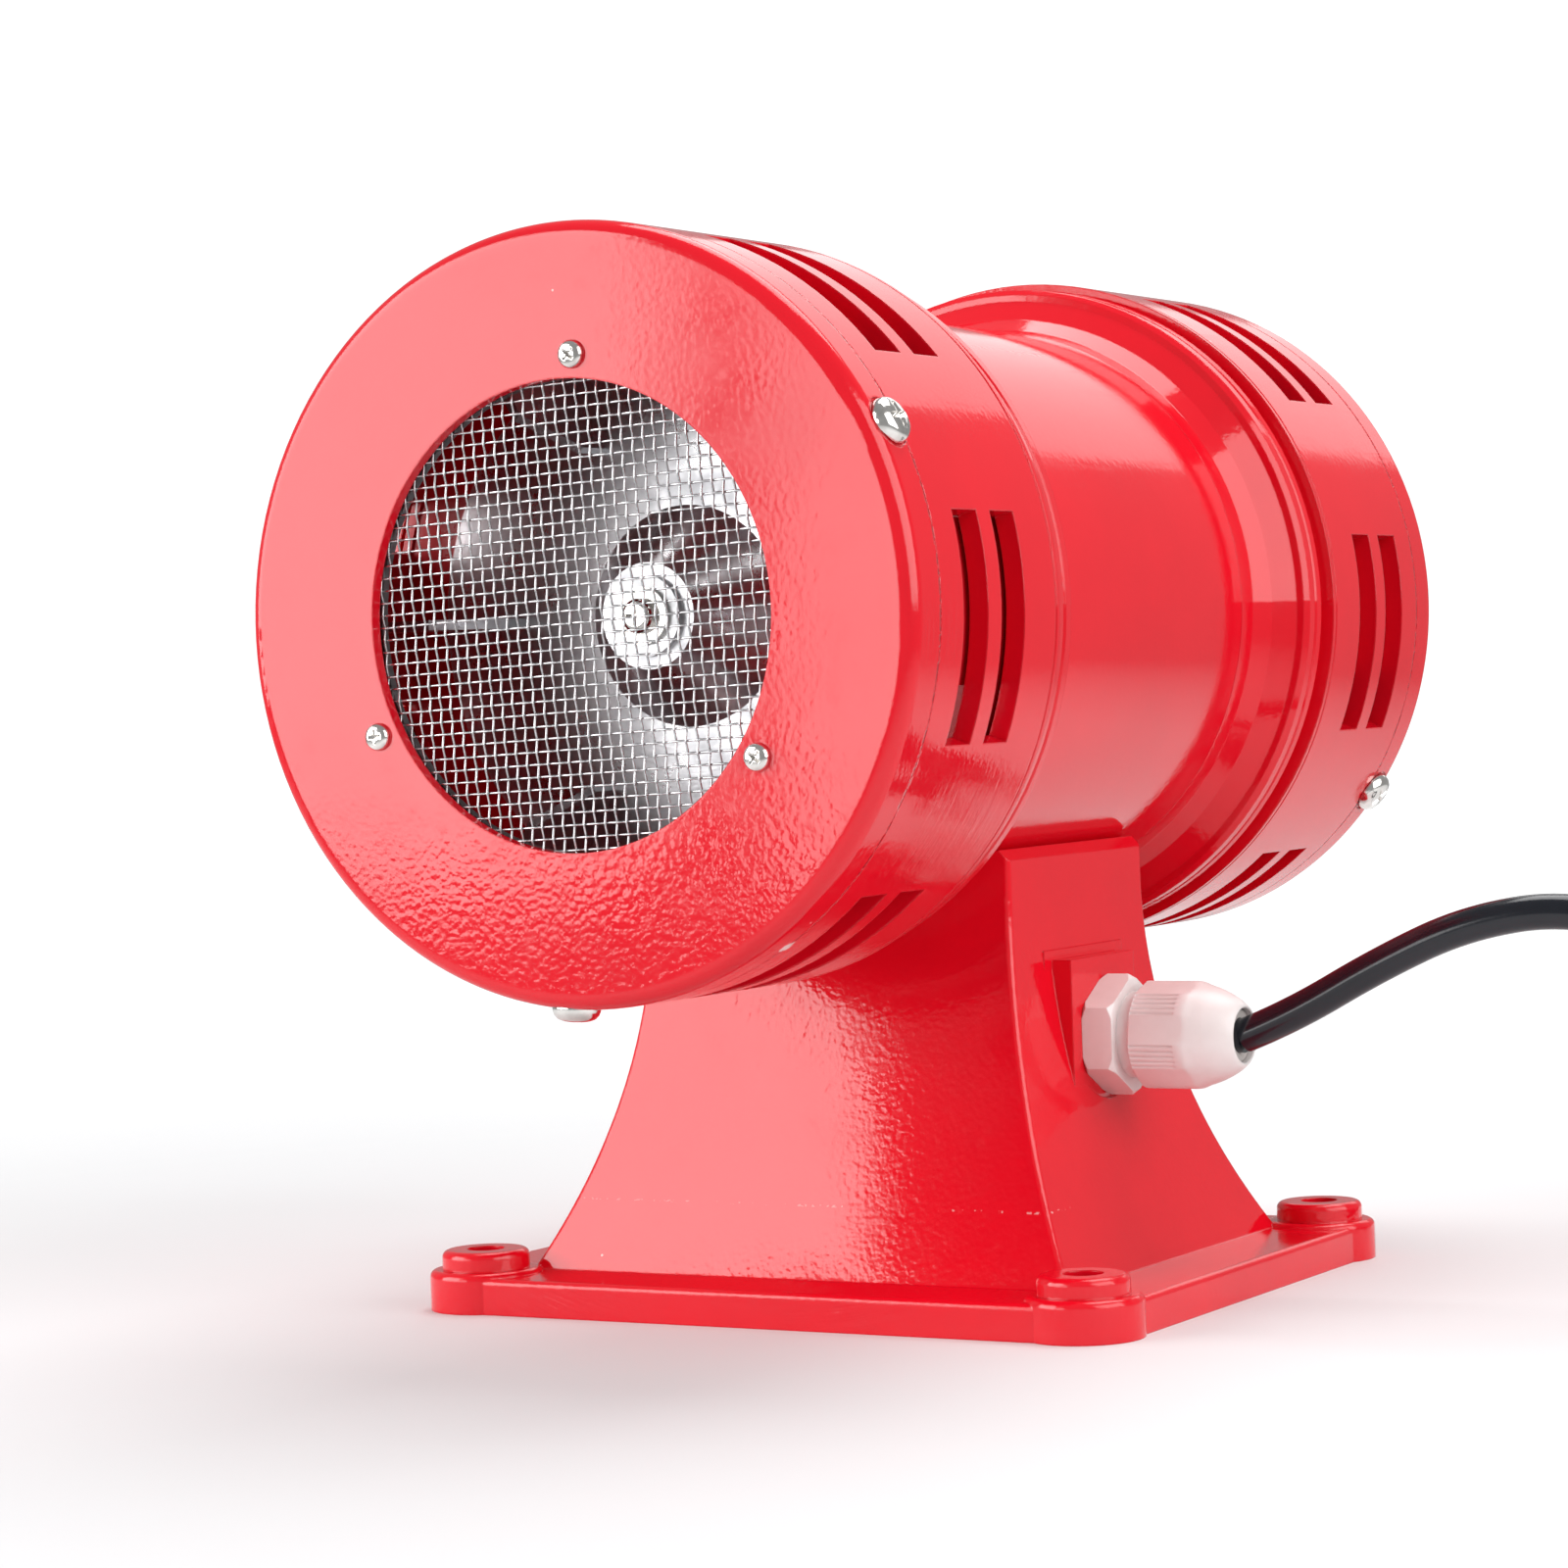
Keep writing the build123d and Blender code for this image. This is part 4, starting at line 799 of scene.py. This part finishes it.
def makeScrewHead(name, kind):
    # turned pan head, then the cross recess cut out of it
    r, h, shank = kind["radius"], kind["height"], kind["shank"]
    outline = [(0, h), (0.35 * r, 0.985 * h), (0.62 * r, 0.92 * h), (0.80 * r, 0.80 * h),
               (0.92 * r, 0.60 * h), (0.98 * r, 0.36 * h), (r, 0.12 * h), (0.985 * r, 0.0),
               (shank, 0.0), (shank, -kind["shankLength"]), (0, -kind["shankLength"])]
    bm = bmesh.new()
    turns = 48
    rings = []
    for radius, z in outline:
        if radius == 0:
            rings.append([bm.verts.new((0, 0, z))] * turns)
        else:
            rings.append([bm.verts.new((radius * math.cos(2 * math.pi * i / turns),
                                        radius * math.sin(2 * math.pi * i / turns), z))
                          for i in range(turns)])
    for upper, lower in zip(rings, rings[1:]):
        for i in range(turns):
            j = (i + 1) % turns
            loop = [upper[i], lower[i], lower[j], upper[j]]
            bm.faces.new(list(dict.fromkeys(loop)))
    bmesh.ops.recalc_face_normals(bm, faces=bm.faces)
    head = bpy.data.objects.new(name, meshFromBmesh(name, bm))
    scene.collection.objects.link(head)
    cutter = crossCutter(name + "Cutter", kind)
    cut = head.modifiers.new("recess", "BOOLEAN")
    cut.object, cut.operation, cut.solver = cutter, "DIFFERENCE", "EXACT"
    edge = head.modifiers.new("edge", "BEVEL")
    edge.width, edge.segments, edge.limit_method = 0.03 * r, 2, "ANGLE"
    edge.angle_limit = math.radians(40)
    seen = head.evaluated_get(bpy.context.evaluated_depsgraph_get())
    mesh = bpy.data.meshes.new_from_object(seen)
    mesh.shade_smooth()
    mesh.set_sharp_from_angle(angle=math.radians(35))
    bpy.data.objects.remove(cutter)
    bpy.data.objects.remove(head)
    made = bpy.data.objects.new(name, mesh)
    scene.collection.objects.link(made)
    return made


def makeScrewTree():
    tree, w, given = newGeometryTree("ringOfScrews", [
        ("Count", "NodeSocketInt", 3), ("Start Angle", "NodeSocketFloat", 0.0),
        ("Step Angle", "NodeSocketFloat", math.radians(120)),
        ("Circle Radius", "NodeSocketFloat", 0.05), ("Station", "NodeSocketFloat", 0.1),
        ("Facing", "NodeSocketFloat", 1.0), ("Radial", "NodeSocketFloat", 0.0),
        ("Axis Height", "NodeSocketFloat", axisHeight), ("Seed", "NodeSocketInt", 3),
        ("Screw", "NodeSocketObject", None), ("Finish", "NodeSocketMaterial", None)])
    index = w.add("GeometryNodeInputIndex").outputs[0]
    turned = w.math("MULTIPLY", index, given["Step Angle"])
    angle = w.math("ADD", turned, given["Start Angle"])
    across, up = w.math("COSINE", angle), w.math("SINE", angle)
    rise = w.math("ADD", w.math("MULTIPLY", up, given["Circle Radius"]), given["Axis Height"])
    spot = w.add("ShaderNodeCombineXYZ", None, x=w.math("MULTIPLY", across, given["Circle Radius"]),
                 y=given["Station"], z=rise).outputs[0]
    points = w.add("GeometryNodePoints", None, count=given["Count"], position=spot).outputs[0]
    axial = w.math("MULTIPLY", w.math("SUBTRACT", 1.0, given["Radial"]), given["Facing"])
    outward = w.add("ShaderNodeCombineXYZ", None, x=w.math("MULTIPLY", across, given["Radial"]),
                    y=axial, z=w.math("MULTIPLY", up, given["Radial"])).outputs[0]
    stand = w.add("FunctionNodeAlignRotationToVector", {"axis": "Z"}, vector=outward).outputs[0]
    spin = w.add("FunctionNodeRandomValue", {"data_type": "FLOAT"})
    w.feed(spin.inputs[2], 0.0)
    w.feed(spin.inputs[3], 1.6)
    w.feed(spin.inputs["Seed"], given["Seed"])
    turn = w.add("ShaderNodeCombineXYZ", None, z=spin.outputs[1]).outputs[0]
    turned = w.add("FunctionNodeRotateRotation", {"rotation_space": "LOCAL"}, rotation=stand,
                   rotate_by=turn).outputs[0]
    source = w.add("GeometryNodeObjectInfo", {"transform_space": "ORIGINAL"}, object=given["Screw"])
    placed = w.add("GeometryNodeInstanceOnPoints", None, points=points,
                   instance=source.outputs["Geometry"], rotation=turned).outputs[0]
    joined = w.add("GeometryNodeRealizeInstances", None, geometry=placed).outputs[0]
    painted = w.add("GeometryNodeSetMaterial", None, geometry=joined, material=given["Finish"])
    end = w.tree.nodes.new("NodeGroupOutput")
    w.tree.links.new(painted.outputs[0], end.inputs[0])
    return tree


def makeScrews():
    tree = makeScrewTree()
    for label, kind in screwKinds.items():
        screw = makeScrewHead(label + "Screw", kind)
        for seed, (side, sign) in enumerate((("front", -1), ("rear", 1))):
            ring = bakeTree(side + label.capitalize() + "Screws", tree, {
                "Count": kind["count"], "Start Angle": math.radians(kind["start"][side]),
                "Circle Radius": kind["circle"],
                "Station": kind["station"] * sign, "Facing": float(sign),
                "Radial": float(kind["radial"]), "Seed": seed + 5, "Screw": screw,
                "Finish": finishes["nickel_screw"]})
            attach(ring, "housing")
            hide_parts(f"{side}_{label}_screws")
        bpy.data.objects.remove(screw)
    print("screws placed")


makeScrews()


# wrench flats with fine grips between them, and a domed nose; millimetres from the start
domeNut = {
    "start": 0.0583,
    "height": 0.054,
    "flat": 10.75,
    "round": 11.2,
    "turn": 10.0,
    "grips": 5,
    "gripSpan": 30.0,
    "gripDepth": 0.32,
    "around": 360,
    # station, radius of the plain circle, share of the flats, share of the grips
    "rows": [
        (0.0, 9.7, 0.0, 0.0), (0.25, 10.3, 0.4, 0.0), (0.6, 10.9, 1.0, 0.0), (0.9, 11.0, 1.0, 1.0),
        (5.0, 11.0, 1.0, 1.0), (10.3, 11.0, 1.0, 1.0), (10.6, 11.0, 1.0, 0.0), (11.6, 11.0, 1.0, 0.0),
        (12.4, 10.95, 0.75, 0.0), (13.0, 10.8, 0.4, 0.0), (13.6, 10.6, 0.15, 0.0), (14.5, 10.35, 0.0, 0.0),
        (15.8, 9.95, 0.0, 0.0), (17.1, 9.45, 0.0, 0.0), (18.4, 8.85, 0.0, 0.0), (19.6, 8.2, 0.0, 0.0),
        (20.7, 7.5, 0.0, 0.0), (21.5, 6.85, 0.0, 0.0), (22.0, 6.35, 0.0, 0.0), (22.2, 5.95, 0.0, 0.0),
        (22.05, 5.65, 0.0, 0.0), (21.5, 5.6, 0.0, 0.0), (8.4, 5.6, 0.0, 0.0), (8.4, 9.15, 0.0, 0.0),
        (0.0, 9.15, 0.0, 0.0)],
}


def nutRadius(angle, plain, flats, grips):
    # distance from the axis at this angle in degrees, flats facing 0, 60, 120 ...
    away = (angle - domeNut["turn"] + 30) % 60 - 30
    shaped = min(domeNut["flat"] / math.cos(math.radians(away)), domeNut["round"])
    radius = plain + (shaped - plain) * flats
    corner = 30 - abs(away)
    half = domeNut["gripSpan"] / 2
    if grips > 0 and corner < half:
        wave = math.cos(math.pi * 2 * domeNut["grips"] * corner / domeNut["gripSpan"])
        edge = min(1.0, (half - corner) / 1.5)
        radius -= domeNut["gripDepth"] * grips * edge * (0.5 + 0.5 * wave) ** 3
    return radius


def makeDomeNut():
    bm = bmesh.new()
    count = domeNut["around"]
    rings = []
    for station, plain, flats, grips in domeNut["rows"]:
        ring = []
        for i in range(count):
            degrees = i * 360 / count
            r = nutRadius(degrees, plain, flats, grips) * mm
            a = math.radians(degrees)
            ring.append(bm.verts.new((domeNut["start"] + station * mm, -r * math.cos(a),
                                      domeNut["height"] + r * math.sin(a))))
        rings.append(ring)
    for one, two in zip(rings, rings[1:] + rings[:1]):
        for i in range(count):
            j = (i + 1) % count
            bm.faces.new((one[i], two[i], two[j], one[j]))
    bmesh.ops.recalc_face_normals(bm, faces=bm.faces)
    nut = addMesh("glandDomeNut", meshFromBmesh("glandDomeNut", bm), finishes["pale_nylon"], 28)
    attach(nut, "housing")
    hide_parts("gland_dome_nut")


makeDomeNut()
print("gland nut made")


def makeBrushSprings():
    for side, sign in (("left", -1), ("right", 1)):
        node = frame["nodes"][side + "_brush_spring"]
        wire = node.data.copy()
        wire.transform(node.matrix_world)
        spring = bpy.data.objects.new(side + "SpringWire", wire)
        scene.collection.objects.link(spring)
        slotName = next(p["material_slot"] for p in frame["record"]["subparts"]
                        if p["node"] == side + "_brush_spring")
        spring.material_slots[0].material = finishes[slotName]
        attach(spring, "housing")
        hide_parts(side + "_brush_spring")
        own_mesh(spring)


makeBrushSprings()
print("brush springs made")

supplyCord = makeCord(finishes["black_pvc"])
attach(supplyCord, "housing")
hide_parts("power_cord", "power_cord_coil", "power_cord_tail")
print("cord laid")
